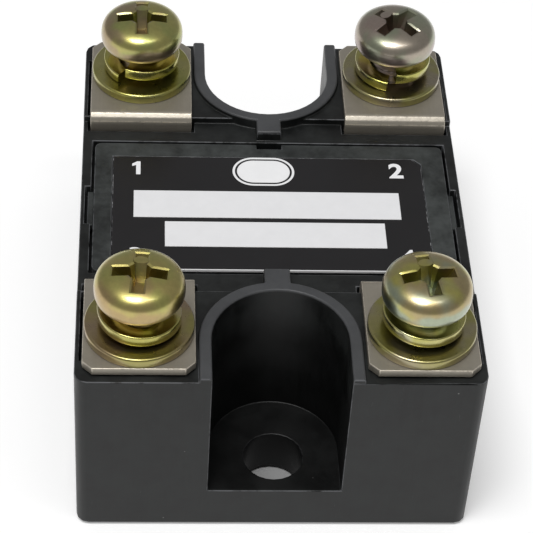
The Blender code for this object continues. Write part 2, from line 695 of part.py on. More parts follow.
def make_fasteners(finishes):
    """Screw, washers and captive nut at every terminal, on the screw's axis."""
    for number, (side_x, side_y, turn_deg, split_deg) in STATIONS.items():
        axis = bpy.data.objects.new("screw_axis_%d" % number, None)
        bpy.context.collection.objects.link(axis)
        axis.location = (side_x * STATION_X, side_y * STATION_Y, 0.0)
        make_screw(number, turn_deg, axis, finishes)
        washer = tube(FLAT_WASHER_DIAMETER / 2, HOLE_RADIUS, FLAT_WASHER_THICKNESS, ROUND_STEPS)
        add("flat_washer_%d" % number, washer, finishes["zinc"],
            parent=axis, place=(0.0, 0.0, FLAT_WASHER_BOTTOM), smooth=True)
        add("spring_washer_%d" % number, spring_washer(split_deg), finishes["zinc"],
            parent=axis, place=(0.0, 0.0, SPRING_WASHER_BOTTOM), smooth=True)
        nut = add("captive_nut_%d" % number, prism(hexagon((0.0, 0.0), NUT_ACROSS_FLATS), 0.0, NUT_HEIGHT),
                  finishes["steel"], parent=axis, place=(0.0, 0.0, NUT_BOTTOM))
        thread = prism(circle((0.0, 0.0), HOLE_RADIUS, HOLE_STEPS), -OVERCUT, NUT_HEIGHT + OVERCUT)
        shape_with(nut, "DIFFERENCE", "nut_thread_%d" % number, thread, parent=nut)


def make_power_stage(finishes):
    """Substrate, pads, two back-to-back power chips, their straps and gate pins."""
    substrate = box(-SUBSTRATE_X, SUBSTRATE_X, -CORE_Y, CORE_Y,
                    SUBSTRATE_BOTTOM, SUBSTRATE_BOTTOM + SUBSTRATE_THICKNESS)
    add("ceramic_substrate", substrate, finishes["ceramic"])
    chip_x, chip_y = CHIP_PLACE
    pad_y = CORE_Y - PAD_INSET
    strap_low = CHIP_TOP + SEAT_GAP + STRAP_THICKNESS / 2
    strap_high = strap_low + STRAP_ARCH
    strap_foot = CHIP_BOTTOM + STRAP_THICKNESS / 2
    for name, side in (("left", -1), ("right", 1)):
        x_low, x_high = span(side, PAD_INSET, SUBSTRATE_X - PAD_INSET)
        pad = box(x_low, x_high, -pad_y, pad_y, PAD_BOTTOM, PAD_BOTTOM + PAD_THICKNESS)
        add("copper_pad_" + name, pad, finishes["copper"])
        place = (side * chip_x, side * chip_y)
        chip = centred_box(place, (CHIP_SIZE, CHIP_SIZE), CHIP_BOTTOM, CHIP_TOP)
        add("thyristor_chip_" + name, chip, finishes["chip"])
        # The strap starts on its own chip, arches over the gap and lands on the other chip's pad
        start = chip_x + STRAP_FOOT / 2
        rise = chip_x - STRAP_FOOT / 2
        landing = -PAD_INSET - STRAP_ARCH
        stations = [
            (0.0, start, strap_low, STRAP_WIDTH),
            (0.0, rise, strap_low, STRAP_WIDTH),
            (0.0, rise - STRAP_ARCH, strap_high, STRAP_WIDTH),
            (0.0, landing + STRAP_ARCH, strap_high, STRAP_WIDTH),
            (0.0, landing - STRAP_ARCH, strap_foot, STRAP_WIDTH),
            (0.0, landing - STRAP_ARCH - STRAP_FOOT, strap_foot, STRAP_WIDTH),
        ]
        strap = ribbon(stations, STRAP_THICKNESS)
        add("cathode_strap_" + name, strap, finishes["copper"],
            place=(0.0, side * chip_y, 0.0), turn_deg=-90.0 * side)
        pin_place = (side * (chip_x + GATE_PIN_OFFSET), side * (chip_y + GATE_PIN_OFFSET))
        pin_size = (GATE_PIN_SIZE, GATE_PIN_SIZE)
        pin = centred_box(pin_place, pin_size, CHIP_TOP + SEAT_GAP, BOARD_HEIGHT - SEAT_GAP)
        add("gate_pin_" + name, pin, finishes["copper"])


def resistor(size):
    """An axial resistor about Z: a waisted body with a wire stub at each end."""
    diameter, length = size
    wire = RESISTOR_WIRE / 2
    end = length / 2
    cap = diameter / 2
    shoulder = end - RESISTOR_CAP_LENGTH
    profile = [
        (0.0, end + RESISTOR_WIRE_END),
        (wire, end + RESISTOR_WIRE_END),
        (wire, end),
        (cap - RESISTOR_CAP_EDGE, end),
        (cap, end - RESISTOR_CAP_EDGE),
        (cap, shoulder),
        (cap - RESISTOR_NECK, shoulder - RESISTOR_NECK),
    ]
    profile += [(radius, -height) for radius, height in reversed(profile)]
    return turned(profile, HOLE_STEPS)


def make_control_stage(finishes):
    """The control board and the parts that stand on it."""
    half_x = CAVITY_X - BOARD_SIDE_GAP
    board = box(-half_x, half_x, -CORE_Y, CORE_Y, BOARD_HEIGHT, BOARD_TOP)
    add("control_board", board, finishes["board"])

    length, width, height = OPTO_SIZE
    lead_x, lead_y, lead_z = OPTO_LEAD
    opto_x, opto_y = OPTO_PLACE
    body = centred_box(OPTO_PLACE, (length, width), PARTS_BOTTOM + lead_z / 2, PARTS_BOTTOM + height)
    opto = add("optocoupler", body, finishes["epoxy"])
    leads = []
    for side in (-1, 1):
        for column in (-1, 0, 1):
            place = (opto_x + column * OPTO_LEAD_PITCH, opto_y + side * width / 2)
            leads.append(centred_box(place, (lead_x, lead_y), PARTS_BOTTOM, PARTS_BOTTOM + lead_z))
    shape_with(opto, "UNION", "opto_leads", joined(leads))

    capacitor_top = PARTS_BOTTOM + CAPACITOR_SIZE[2]
    capacitor = centred_box(CAPACITOR_PLACE, CAPACITOR_SIZE[:2], PARTS_BOTTOM, capacitor_top)
    add("snubber_capacitor", capacitor, finishes["film"])
    resistors = (
        ("snubber_resistor", SNUBBER_RESISTOR, SNUBBER_RESISTOR_PLACE),
        ("input_resistor", INPUT_RESISTOR, INPUT_RESISTOR_PLACE),
    )
    for name, size, (x, y) in resistors:
        body = resistor(size)
        bmesh.ops.rotate(body, verts=body.verts, matrix=Matrix.Rotation(math.pi / 2, 3, "Y"))
        add(name, body, finishes["resistor"], place=(x, y, PARTS_BOTTOM + size[0] / 2), smooth=True)

    flat_deg = math.degrees(math.asin(TRANSISTOR_FLAT / (TRANSISTOR_DIAMETER / 2)))
    outline = arc(TRANSISTOR_PLACE, TRANSISTOR_DIAMETER / 2, -flat_deg, 180.0 + flat_deg, ARC_STEPS)
    transistor = prism(outline, PARTS_BOTTOM, PARTS_BOTTOM + TRANSISTOR_HEIGHT)
    add("input_transistor", transistor, finishes["epoxy"])

    radius = VARISTOR_DIAMETER / 2
    half = VARISTOR_THICKNESS / 2
    profile = [
        (0.0, half),
        (radius - VARISTOR_EDGE, half),
        (radius, half - VARISTOR_EDGE),
        (radius, VARISTOR_EDGE - half),
        (radius - VARISTOR_EDGE, -half),
        (0.0, -half),
    ]
    disc = turned(profile, HOLE_STEPS)
    bmesh.ops.rotate(disc, verts=disc.verts, matrix=Matrix.Rotation(math.pi / 2, 3, "X"))
    x, y = VARISTOR_PLACE
    add("surge_varistor", disc, finishes["varistor"], place=(x, y, PARTS_BOTTOM + radius), smooth=True)


def main():
    for leftover in list(bpy.data.objects):
        bpy.data.objects.remove(leftover, do_unlink=True)
    finishes = make_finishes()
    make_case(finishes)
    make_base_plate(finishes)
    make_lid(finishes)
    make_terminals(finishes)
    make_fasteners(finishes)
    make_power_stage(finishes)
    make_control_stage(finishes)


main()
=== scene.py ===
"""Looks of a panel-mounting solid state relay with four screw terminals.

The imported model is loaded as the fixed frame. Each operator builds one piece, or one group of like pieces,
over its part of the frame and gives it its finish. Units are metres, +Z is up and the front is -Y.
"""

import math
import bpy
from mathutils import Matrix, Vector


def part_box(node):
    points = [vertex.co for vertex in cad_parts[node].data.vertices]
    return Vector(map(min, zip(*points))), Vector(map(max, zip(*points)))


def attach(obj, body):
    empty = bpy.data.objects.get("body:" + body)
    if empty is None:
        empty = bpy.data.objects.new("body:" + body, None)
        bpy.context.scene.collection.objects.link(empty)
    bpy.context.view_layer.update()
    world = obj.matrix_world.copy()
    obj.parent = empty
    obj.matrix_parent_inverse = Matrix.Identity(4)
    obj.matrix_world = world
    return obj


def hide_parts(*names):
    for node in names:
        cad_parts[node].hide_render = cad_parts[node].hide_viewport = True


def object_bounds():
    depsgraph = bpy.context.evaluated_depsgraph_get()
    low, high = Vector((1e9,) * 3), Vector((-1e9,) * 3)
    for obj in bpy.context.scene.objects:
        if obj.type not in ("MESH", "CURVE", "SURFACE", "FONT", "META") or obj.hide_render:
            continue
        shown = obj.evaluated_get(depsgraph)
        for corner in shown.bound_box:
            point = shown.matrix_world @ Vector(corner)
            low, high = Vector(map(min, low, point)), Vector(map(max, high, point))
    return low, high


bl_info = {
    "name": "Screw-terminal relay",
    "version": (1, 0, 0),
    "blender": (4, 5, 0),
    "location": "View3D > Sidebar > Relay",
    "description": "Builds a panel-mounting solid state relay, piece by piece, over its packed frame",
    "category": "Object",
}

import bmesh
import bpy
from bpy.props import FloatProperty, FloatVectorProperty, IntProperty, PointerProperty
from mathutils import Matrix, Vector

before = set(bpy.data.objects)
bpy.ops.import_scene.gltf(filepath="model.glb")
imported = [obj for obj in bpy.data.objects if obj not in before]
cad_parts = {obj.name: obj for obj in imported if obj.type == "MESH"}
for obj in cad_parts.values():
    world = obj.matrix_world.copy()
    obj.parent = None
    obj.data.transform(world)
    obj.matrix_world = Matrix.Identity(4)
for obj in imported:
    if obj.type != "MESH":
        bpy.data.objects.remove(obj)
CAD_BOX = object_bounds()

MERGE = 1e-6
SHARP_DEG = 18.0
SMOOTH_DEG = 55.0
FLAT_DEG = 0.5
SCREW_SMOOTH_DEG = 26.0
WASHER_SMOOTH_DEG = 40.0
NUT_SMOOTH_DEG = 25.0
NODE_STEP = 190.0
TERMINALS = (1, 2, 3, 4)


def settings(context, group):
    """One of the relay's groups of settings on the scene."""
    return getattr(context.scene, "relay_" + group)


# Settings a user would change

class CaseSettings(bpy.types.PropertyGroup):
    edge_round: FloatProperty(
        name="Edge round", description="Width of the rounding along the moulding's edges",
        default=0.00014, min=0.0, max=0.00014, unit="LENGTH", precision=5)
    rim_round: FloatProperty(
        name="Rim round", description="Radius along the top edges of the notch rims",
        default=0.00028, min=0.0, max=0.0004, unit="LENGTH", precision=5)
    lid_edge_round: FloatProperty(
        name="Lid edge round", description="Width of the rounding along the lid's edges",
        default=0.00012, min=0.0, max=0.0003, unit="LENGTH", precision=5)
    colour: FloatVectorProperty(
        name="Plastic", description="Colour of the moulded plastic",
        default=(0.0098, 0.0108, 0.0106), min=0.0, max=1.0, subtype="COLOR")
    # Rim tops and edges are lightened towards this colour: rubbing, and partly painted highlight.
    rubbed_colour: FloatVectorProperty(
        name="Rubbed plastic", description="Colour of rim tops and edges that handling has rubbed",
        default=(0.082, 0.084, 0.089), min=0.0, max=1.0, subtype="COLOR")


class LabelSettings(bpy.types.PropertyGroup):
    film_colour: FloatVectorProperty(
        name="Film", description="Colour of the printed label film",
        default=(0.0075, 0.0068, 0.0080), min=0.0, max=1.0, subtype="COLOR")
    ink_colour: FloatVectorProperty(
        name="Ink", description="Colour of the numerals and the blank oval",
        default=(0.94, 0.94, 0.95), min=0.0, max=1.0, subtype="COLOR")
    numeral_height: FloatProperty(
        name="Numeral height", description="Height of the terminal numbers",
        default=0.0025, min=0.001, max=0.004, unit="LENGTH", precision=4)
    oval_length: FloatProperty(
        name="Oval length", description="Length of the blank oval between the two back terminals",
        default=0.0074, min=0.002, max=0.012, unit="LENGTH", precision=4)
    oval_width: FloatProperty(
        name="Oval width", description="Width of the blank oval",
        default=0.0050, min=0.002, max=0.008, unit="LENGTH", precision=4)


class TerminalSettings(bpy.types.PropertyGroup):
    edge_round: FloatProperty(
        name="Edge round", description="Width of the rounding along the stamped edges",
        default=0.00012, min=0.0, max=0.0003, unit="LENGTH", precision=5)
    colour: FloatVectorProperty(
        name="Plating", description="Colour of the dull nickel on the terminals",
        default=(0.40, 0.365, 0.305), min=0.0, max=1.0, subtype="COLOR")


class FastenerSettings(bpy.types.PropertyGroup):
    steps_around: IntProperty(
        name="Steps around", description="Faces round a turned piece",
        default=72, min=24, max=120)
    thread_pitch: FloatProperty(
        name="Thread pitch", description="Rise of the screw thread in one turn",
        default=0.0008, min=0.0003, max=0.002, unit="LENGTH", precision=5)
    thread_depth: FloatProperty(
        name="Thread depth", description="Depth of the screw thread",
        default=0.00042, min=0.0, max=0.0008, unit="LENGTH", precision=5)
    recess_span: FloatProperty(
        name="Recess span", description="Length of the cross recess, tip to tip",
        default=0.0062, min=0.003, max=0.008, unit="LENGTH", precision=4)
    recess_arm: FloatProperty(
        name="Recess arm", description="Width of an arm of the cross recess at the top",
        default=0.0016, min=0.0008, max=0.002, unit="LENGTH", precision=5)
    recess_depth: FloatProperty(
        name="Recess depth", description="Depth of the cross recess at its middle",
        default=0.0030, min=0.001, max=0.0032, unit="LENGTH", precision=4)


class StageSettings(bpy.types.PropertyGroup):
    azimuth: FloatProperty(
        name="Azimuth", description="Direction of the camera round the relay, from the front",
        default=math.radians(-4.803), subtype="ANGLE")
    elevation: FloatProperty(
        name="Elevation", description="Height of the camera above the horizon",
        default=math.radians(44.185), subtype="ANGLE")
    roll: FloatProperty(
        name="Roll", description="Turn of the camera about its line of sight",
        default=math.radians(3.90), subtype="ANGLE")
    distance: FloatProperty(
        name="Distance", description="Distance of the camera from the point it looks at",
        default=0.25776, min=0.05, unit="LENGTH", precision=4)
    target: FloatVectorProperty(
        name="Target", description="Point that the camera looks at",
        default=(-0.000096, 0.001355, 0.012), subtype="TRANSLATION", precision=5)
    lens: FloatProperty(
        name="Lens", description="Focal length for a picture 36 millimetres wide",
        default=142.94, min=10.0)
    floor_colour: FloatVectorProperty(
        name="Floor", description="Colour of the pale floor",
        default=(0.93, 0.93, 0.93), min=0.0, max=1.0, subtype="COLOR")
    world_level: FloatProperty(
        name="Room light", description="Level of the even light from all round",
        default=0.30, min=0.0, max=1.0)
    main_power: FloatProperty(
        name="Main light", description="Power of the large soft light overhead",
        default=5.0, min=0.0, unit="POWER")
    strip_power: FloatProperty(
        name="Strip light", description="Power of the narrow light beside the main one",
        default=0.5, min=0.0, unit="POWER")


# Nodes

def fill(tree, socket, value):
    """Join a socket to another, or set its value."""
    if isinstance(value, bpy.types.NodeSocket):
        tree.links.new(value, socket)
    elif socket.type == "RGBA":
        socket.default_value = (*value[:3], 1.0)
    else:
        socket.default_value = value


def add_node(tree, kind, inputs=None, **properties):
    """Add a node with its properties set and its inputs filled."""
    made = tree.nodes.new(kind)
    made.location = (NODE_STEP * len(tree.nodes), 0.0)
    for key, value in properties.items():
        setattr(made, key, value)
    for key, value in (inputs or {}).items():
        fill(tree, made.inputs[key], value)
    return made


def calc(tree, operation, *values):
    """One step of arithmetic on sockets or numbers."""
    made = add_node(tree, "ShaderNodeMath", operation=operation)
    for socket, value in zip(made.inputs, values):
        fill(tree, socket, value)
    return made.outputs[0]


def times(tree, first, second):
    """Two sockets or numbers multiplied."""
    return calc(tree, "MULTIPLY", first, second)


def split(tree, vector):
    """The three parts of a vector."""
    return add_node(tree, "ShaderNodeSeparateXYZ", {"Vector": vector}).outputs


def shade(colour, factor, limit=1.0):
    """A colour made lighter or darker."""
    return [min(limit, part * factor) for part in colour]


def ramp(tree, value, low, high):
    """A smooth step of a value from 0 at the low mark to 1 at the high mark."""
    made = add_node(tree, "ShaderNodeMapRange", interpolation_type="SMOOTHSTEP")
    for key, item in (("Value", value), ("From Min", low), ("From Max", high)):
        fill(tree, made.inputs[key], item)
    return made.outputs[0]


def mix(tree, factor, first, second, mode="MIX"):
    """Two colours mixed by a mask."""
    made = add_node(tree, "ShaderNodeMix", data_type="RGBA", blend_type=mode)
    for index, value in ((0, factor), (6, first), (7, second)):
        fill(tree, made.inputs[index], value)
    return made.outputs[2]


def between(tree, factor, low, high):
    """A number between two others by a mask."""
    made = add_node(tree, "ShaderNodeMapRange", {"Value": factor, "To Min": low, "To Max": high})
    return made.outputs[0]


def new_group(name, kind, inputs, outputs):
    """An empty node group with its named sockets; returns it with its input and output nodes."""
    tree = bpy.data.node_groups.new(name, kind)
    for label, sort, default in inputs:
        socket = tree.interface.new_socket(label, in_out="INPUT", socket_type="NodeSocket" + sort)
        if default is not None:
            socket.default_value = default
    for label, sort in outputs:
        tree.interface.new_socket(label, in_out="OUTPUT", socket_type="NodeSocket" + sort)
    return tree, add_node(tree, "NodeGroupInput").outputs, add_node(tree, "NodeGroupOutput")


def object_point(tree):
    """The surface point in the piece's own frame."""
    return add_node(tree, "ShaderNodeTexCoord").outputs["Object"]


def noise(tree, vector, scale, detail=3.0, roughness=0.55):
    """Fractal noise between 0 and 1."""
    inputs = {"Vector": vector, "Scale": scale, "Detail": detail, "Roughness": roughness}
    return add_node(tree, "ShaderNodeTexNoise", inputs).outputs[0]


def grain_group():
    """Fine satin grain of a moulding, with broad uneven tone and faint draw lines."""
    tree, given, out = new_group(
        "Moulded grain", "ShaderNodeTree",
        [("Grain Size", "Float", 0.0001), ("Mottle Size", "Float", 0.004)],
        [("Height", "Float"), ("Mottle", "Float")])
    point = object_point(tree)
    grain = noise(tree, point, calc(tree, "DIVIDE", 1.0, given["Grain Size"]))
    broad = noise(tree, point, calc(tree, "DIVIDE", 1.0, given["Mottle Size"]), 4.0, 0.6)
    drawn = add_node(tree, "ShaderNodeMapping", {"Vector": point, "Scale": (1.0, 1.0, 0.06)}).outputs[0]
    lines = noise(tree, drawn, calc(tree, "DIVIDE", 6.0, given["Mottle Size"]), 4.0, 0.7)
    fill(tree, out.inputs["Height"], calc(tree, "ADD", grain, times(tree, lines, 0.5)))
    fill(tree, out.inputs["Mottle"], calc(tree, "ADD", times(tree, broad, 0.75),
                                          times(tree, lines, 0.25)))
    return tree


def rub_group():
    """Patchy rubbing along the rounded edges, from the edge attribute; on the moulding it also serves as
    painted highlight.
    """
    tree, given, out = new_group(
        "Edge rub and highlight", "ShaderNodeTree",
        [("Patch Size", "Float", 0.001), ("Cover", "Float", 0.5)], [("Mask", "Float")])
    edge = add_node(tree, "ShaderNodeAttribute", attribute_name="edge").outputs["Fac"]
    patch = noise(tree, object_point(tree), calc(tree, "DIVIDE", 1.0, given["Patch Size"]), 5.0, 0.65)
    low = calc(tree, "SUBTRACT", 0.92, given["Cover"])
    high = calc(tree, "SUBTRACT", 1.10, given["Cover"])
    fill(tree, out.inputs["Mask"], times(tree, edge, ramp(tree, patch, low, high)))
    return tree


def speck_group():
    """Sparse specks of dust, a few cells of a pattern of cells."""
    tree, given, out = new_group(
        "Dust specks", "ShaderNodeTree",
        [("Spacing", "Float", 0.001), ("Share", "Float", 0.1), ("Size", "Float", 0.12)], [("Mask", "Float")])
    scale = calc(tree, "DIVIDE", 1.0, given["Spacing"])
    cells = add_node(tree, "ShaderNodeTexVoronoi", {"Vector": object_point(tree), "Scale": scale})
    chosen = add_node(tree, "ShaderNodeSeparateColor", {"Color": cells.outputs["Color"]}).outputs["Red"]
    near = ramp(tree, cells.outputs["Distance"], given["Size"], times(tree, given["Size"], 0.4))
    fill(tree, out.inputs["Mask"], times(tree, near, calc(tree, "LESS_THAN", chosen, given["Share"])))
    return tree


def line_group():
    """Long fine lines of rolled or brushed metal, along one direction."""
    tree, given, out = new_group(
        "Rolled lines", "ShaderNodeTree",
        [("Line Size", "Float", 0.0001), ("Stretch", "Float", 30.0), ("Turn", "Float", 0.0)],
        [("Height", "Float"), ("Tone", "Float")])
    turn = add_node(tree, "ShaderNodeCombineXYZ", {"Z": given["Turn"]}).outputs[0]
    turned = add_node(tree, "ShaderNodeMapping", {"Vector": object_point(tree), "Rotation": turn}).outputs[0]
    fine = calc(tree, "DIVIDE", 1.0, given["Line Size"])
    long = calc(tree, "DIVIDE", fine, given["Stretch"])
    scale = add_node(tree, "ShaderNodeCombineXYZ", {"X": fine, "Y": long, "Z": long}).outputs[0]
    drawn = add_node(tree, "ShaderNodeVectorMath", operation="MULTIPLY")
    fill(tree, drawn.inputs[0], turned)
    fill(tree, drawn.inputs[1], scale)
    fill(tree, out.inputs["Height"], noise(tree, drawn.outputs[0], 1.0, 4.0, 0.6))
    fill(tree, out.inputs["Tone"], noise(tree, drawn.outputs[0], 0.21, 3.0, 0.5))
    return tree


def tint_group():
    """Uneven colours of a passivated zinc plating: a main colour with drifting patches of two others."""
    tree, given, out = new_group(
        "Plating tint", "ShaderNodeTree",
        [("Main", "Color", (0.5, 0.45, 0.15, 1.0)), ("Second", "Color", (0.4, 0.42, 0.12, 1.0)),
         ("Third", "Color", (0.5, 0.4, 0.3, 1.0)), ("Patch Size", "Float", 0.004), ("Rim", "Float", 0.0)],
        [("Colour", "Color"), ("Patch", "Float")])
    point = object_point(tree)
    scale = calc(tree, "DIVIDE", 1.0, given["Patch Size"])
    first = ramp(tree, noise(tree, point, scale, 2.0, 0.5), 0.40, 0.60)
    other = add_node(tree, "ShaderNodeMapping", {"Vector": point, "Location": (0.3, 0.1, 0.2)}).outputs[0]
    spread = noise(tree, other, times(tree, scale, 0.8), 2.0, 0.5)
    second = ramp(tree, calc(tree, "ADD", spread, times(tree, given["Rim"], 0.16)), 0.48, 0.64)
    fine = noise(tree, point, times(tree, scale, 9.0), 4.0, 0.6)
    colour = mix(tree, second, mix(tree, first, given["Main"], given["Second"]), given["Third"])
    fill(tree, out.inputs["Colour"], mix(tree, 0.35, colour, between(tree, fine, 0.25, 1.1), "MULTIPLY"))
    fill(tree, out.inputs["Patch"], fine)
    return tree


EFFECTS = {}


def effect(tree, name, **values):
    """Place a shared effect in a material; the group is built the first time."""
    makers = {"grain": grain_group, "rub": rub_group, "specks": speck_group, "lines": line_group,
              "tint": tint_group}
    if name not in EFFECTS:
        EFFECTS[name] = makers[name]()
    inputs = {key.replace("_", " ").title(): value for key, value in values.items()}
    return add_node(tree, "ShaderNodeGroup", inputs, node_tree=EFFECTS[name]).outputs


def marked(tree, base, colour, amount, name, **values):
    """A base colour with an amount of another where a shared effect's mask is."""
    mask = effect(tree, name, **values)["Mask"]
    return mix(tree, times(tree, mask, amount), base, colour)


def start_material(name):
    """A new material; returns it with its tree and its shader."""
    material = bpy.data.materials.new(name)
    material.use_nodes = True
    return material, material.node_tree, material.node_tree.nodes["Principled BSDF"]


def give(tree, shader, **values):
    """Fill the shader's sockets."""
    for key, value in values.items():
        fill(tree, shader.inputs[key.replace("_", " ").title()], value)


def raise_surface(tree, shader, height, distance):
    """Let a height pattern shape the surface normal."""
    bump = add_node(tree, "ShaderNodeBump", {"Height": height, "Distance": distance, "Strength": 1.0})
    fill(tree, shader.inputs["Normal"], bump.outputs[0])


# Finishes

def within_notch(tree, half_width, start, end, top):
    """Mask of the walls, floor and hole of the end notches, where the plastic is darkened as painted shade.
    """
    spot = split(tree, object_point(tree))
    depth = calc(tree, "ABSOLUTE", spot["Y"])
    across = ramp(tree, calc(tree, "ABSOLUTE", spot["X"]), half_width + 0.00014, half_width + 0.00004)
    along = times(tree, ramp(tree, depth, start, start + 0.0001), ramp(tree, depth, end, end - 0.0003))
    below = ramp(tree, spot["Z"], top, top - 0.004)
    return times(tree, times(tree, across, along), below)


def moulded_plastic(name, colour, rubbed, rim=None, gloss=(0.36, 0.50), notch=None):
    """Black moulding with satin grain, edges lightened by rubbing and painted highlight, a little dust,
    painted shade in the notches, and lightened all over above the rim by wear and painted highlight.
    """
    material, tree, shader = start_material(name)
    grain = effect(tree, "grain", grain_size=0.00016, mottle_size=0.0042)
    cloud = ramp(tree, grain["Mottle"], 0.30, 0.70)
    base = mix(tree, cloud, shade(colour, 0.45), shade(colour, 1.75))
    streak = effect(tree, "lines", line_size=0.00010, stretch=22.0, turn=0.9)["Height"]
    base = mix(tree, times(tree, ramp(tree, streak, 0.69, 0.74), 0.45), base, rubbed)
    if rim is not None:
        # Rubbing and painted highlight: the rim tops above this height are lightened in patches.
        height = split(tree, object_point(tree))["Z"]
        rim_rub_and_highlight = times(tree, ramp(tree, height, rim - 0.0002, rim),
                    between(tree, grain["Mottle"], 0.45, 0.95))
        base = mix(tree, rim_rub_and_highlight, base, rubbed)
    # Rubbing and painted highlight: the edges are lightened in patches, standing in for glints along the
    # edges.
    rub = effect(tree, "rub", patch_size=0.0021, cover=0.56)["Mask"]
    base = mix(tree, rub, base, shade(rubbed, 1.6))
    base = marked(tree, base, (0.40, 0.40, 0.39), 0.6, "specks", spacing=0.0021, share=0.16, size=0.055)
    # Painted shade: the walls, floor and hole of the notches are darkened.
    if notch is not None:
        base = mix(tree, times(tree, within_notch(tree, *notch), 0.85), base, shade(colour, 0.12))
    give(tree, shader, base_color=base, roughness=between(tree, cloud, *gloss))
    shader.inputs["Specular IOR Level"].default_value = 0.34
    raise_surface(tree, shader, grain["Height"], 0.000006)
    return material


def label_film(colour):
    """Printed black film: smooth, faintly scuffed, with white flecks where its cut edge has chipped."""
    material, tree, shader = start_material("label_film_black")
    grain = effect(tree, "grain", grain_size=0.00022, mottle_size=0.005)
    scuff = effect(tree, "lines", line_size=0.00009, stretch=25.0, turn=0.7)["Height"]
    marks = times(tree, ramp(tree, scuff, 0.66, 0.78), 0.35)
    base = mix(tree, grain["Mottle"], shade(colour, 0.75), shade(colour, 1.25))
    base = mix(tree, marks, base, (0.05, 0.05, 0.055))
    base = marked(tree, base, (0.5, 0.5, 0.5), 0.7, "specks", spacing=0.0024, share=0.30, size=0.05)
    chips = effect(tree, "rub", patch_size=0.0012, cover=0.46)["Mask"]
    base = mix(tree, chips, base, (0.7, 0.7, 0.72))
    give(tree, shader, base_color=base, roughness=between(tree, grain["Mottle"], 0.30, 0.44))
    raise_surface(tree, shader, grain["Height"], 0.000003)
    return material


def label_core(middle):
    """The label's cut edge: white above its middle height, dark below."""
    material, tree, shader = start_material("label_core_white")
    height = split(tree, object_point(tree))["Z"]
    fibres = effect(tree, "grain", grain_size=0.00008, mottle_size=0.0009)
    white = mix(tree, fibres["Mottle"], (0.78, 0.78, 0.79), (0.97, 0.97, 0.97))
    give(tree, shader, base_color=mix(tree, ramp(tree, height, middle - 0.00002, middle + 0.00002),
                                      (0.02, 0.02, 0.02), white), roughness=0.6)
    raise_surface(tree, shader, fibres["Height"], 0.000004)
    return material


def paper(name, colour):
    """Matt white paper or ink with fine fibres and darker patches along the rounded edges."""
    material, tree, shader = start_material(name)
    fibres = effect(tree, "grain", grain_size=0.00007, mottle_size=0.0018)
    base = mix(tree, fibres["Mottle"], shade(colour, 0.93), shade(colour, 1.05))
    base = marked(tree, base, (0.35, 0.34, 0.32), 0.5, "rub", patch_size=0.0008, cover=0.6)
    give(tree, shader, base_color=base, roughness=between(tree, fibres["Mottle"], 0.52, 0.66))
    raise_surface(tree, shader, fibres["Height"], 0.000003)
    return material


def plated_sheet(name, colour, turn=0.0, gloss=(0.34, 0.48), bright=1.9):
    """Dull plated metal: rolled lines, cloudy tone, stains and bright rubbed edges."""
    material, tree, shader = start_material(name)
    lines = effect(tree, "lines", line_size=0.00007, stretch=40.0, turn=turn)
    cloud = effect(tree, "grain", grain_size=0.00012, mottle_size=0.0030)
    base = mix(tree, cloud["Mottle"], shade(colour, 0.70), shade(colour, 1.22))
    base = mix(tree, times(tree, lines["Tone"], 0.30), base, shade(colour, 0.62))
    base = marked(tree, base, (0.20, 0.17, 0.13), 0.35, "specks", spacing=0.0014, share=0.12, size=0.16)
    rub = effect(tree, "rub", patch_size=0.0007, cover=0.58)["Mask"]
    base = mix(tree, times(tree, rub, 0.9), base, shade(colour, bright, 0.95))
    rough = between(tree, times(tree, cloud["Mottle"], lines["Height"]), gloss[0], gloss[1] + 0.2)
    rough = times(tree, rough, between(tree, rub, 1.0, 0.6))
    give(tree, shader, base_color=base, metallic=between(tree, cloud["Mottle"], 0.52, 0.86), roughness=rough)
    dents = noise(tree, object_point(tree), 1400.0, 4.0, 0.6)
    fine = calc(tree, "ADD", lines["Height"], times(tree, cloud["Height"], 0.4))
    raise_surface(tree, shader, calc(tree, "ADD", fine, times(tree, dents, 9.0)), 0.000003)
    return material


def yellow_zinc(name, main, second, third, patch=0.0042, gloss=(0.24, 0.40), rim=None):
    """Yellow passivated zinc: drifting tints, faint pits, a recess darkened as painted shade and a rim of the
    third tint.
    """
    material, tree, shader = start_material(name)
    below = 0.0
    if rim is not None:
        height = split(tree, object_point(tree))["Z"]
        below = ramp(tree, height, rim + 0.0007, rim - 0.0003)
    tint = effect(tree, "tint", main=main, second=second, third=third, patch_size=patch, rim=below)
    pits = effect(tree, "grain", grain_size=0.00018, mottle_size=0.0016)
    base = marked(tree, tint["Colour"], (0.14, 0.12, 0.06), 0.45,
                  "specks", spacing=0.0011, share=0.10, size=0.10)
    # Painted shade: the faces of the cross recess are darkened.
    recess_shade = add_node(tree, "ShaderNodeAttribute", attribute_name="recess").outputs["Fac"]
    base = mix(tree, times(tree, recess_shade, 0.18), base, shade(main, 0.25))
    rough = calc(tree, "ADD", between(tree, pits["Mottle"], *gloss), times(tree, recess_shade, 0.05))
    give(tree, shader, base_color=base, metallic=1.0, roughness=rough, coat_weight=0.6, coat_roughness=0.10)
    raise_surface(tree, shader, pits["Height"], 0.000004)
    return material


def smooth_metal(name, colour, dull, gloss):
    """Clean metal of the inner parts, with cloudy tarnish."""
    material, tree, shader = start_material(name)
    cloud = effect(tree, "grain", grain_size=0.00012, mottle_size=0.0022)
    rub = effect(tree, "rub", patch_size=0.0012, cover=0.6)["Mask"]
    base = mix(tree, cloud["Mottle"], dull, colour)
    base = mix(tree, times(tree, rub, 0.6), base, shade(colour, 1.3, 0.95))
    rough = between(tree, cloud["Mottle"], gloss + 0.12, gloss)
    give(tree, shader, base_color=base, metallic=1.0, roughness=rough)
    raise_surface(tree, shader, cloud["Height"], 0.000003)
    return material


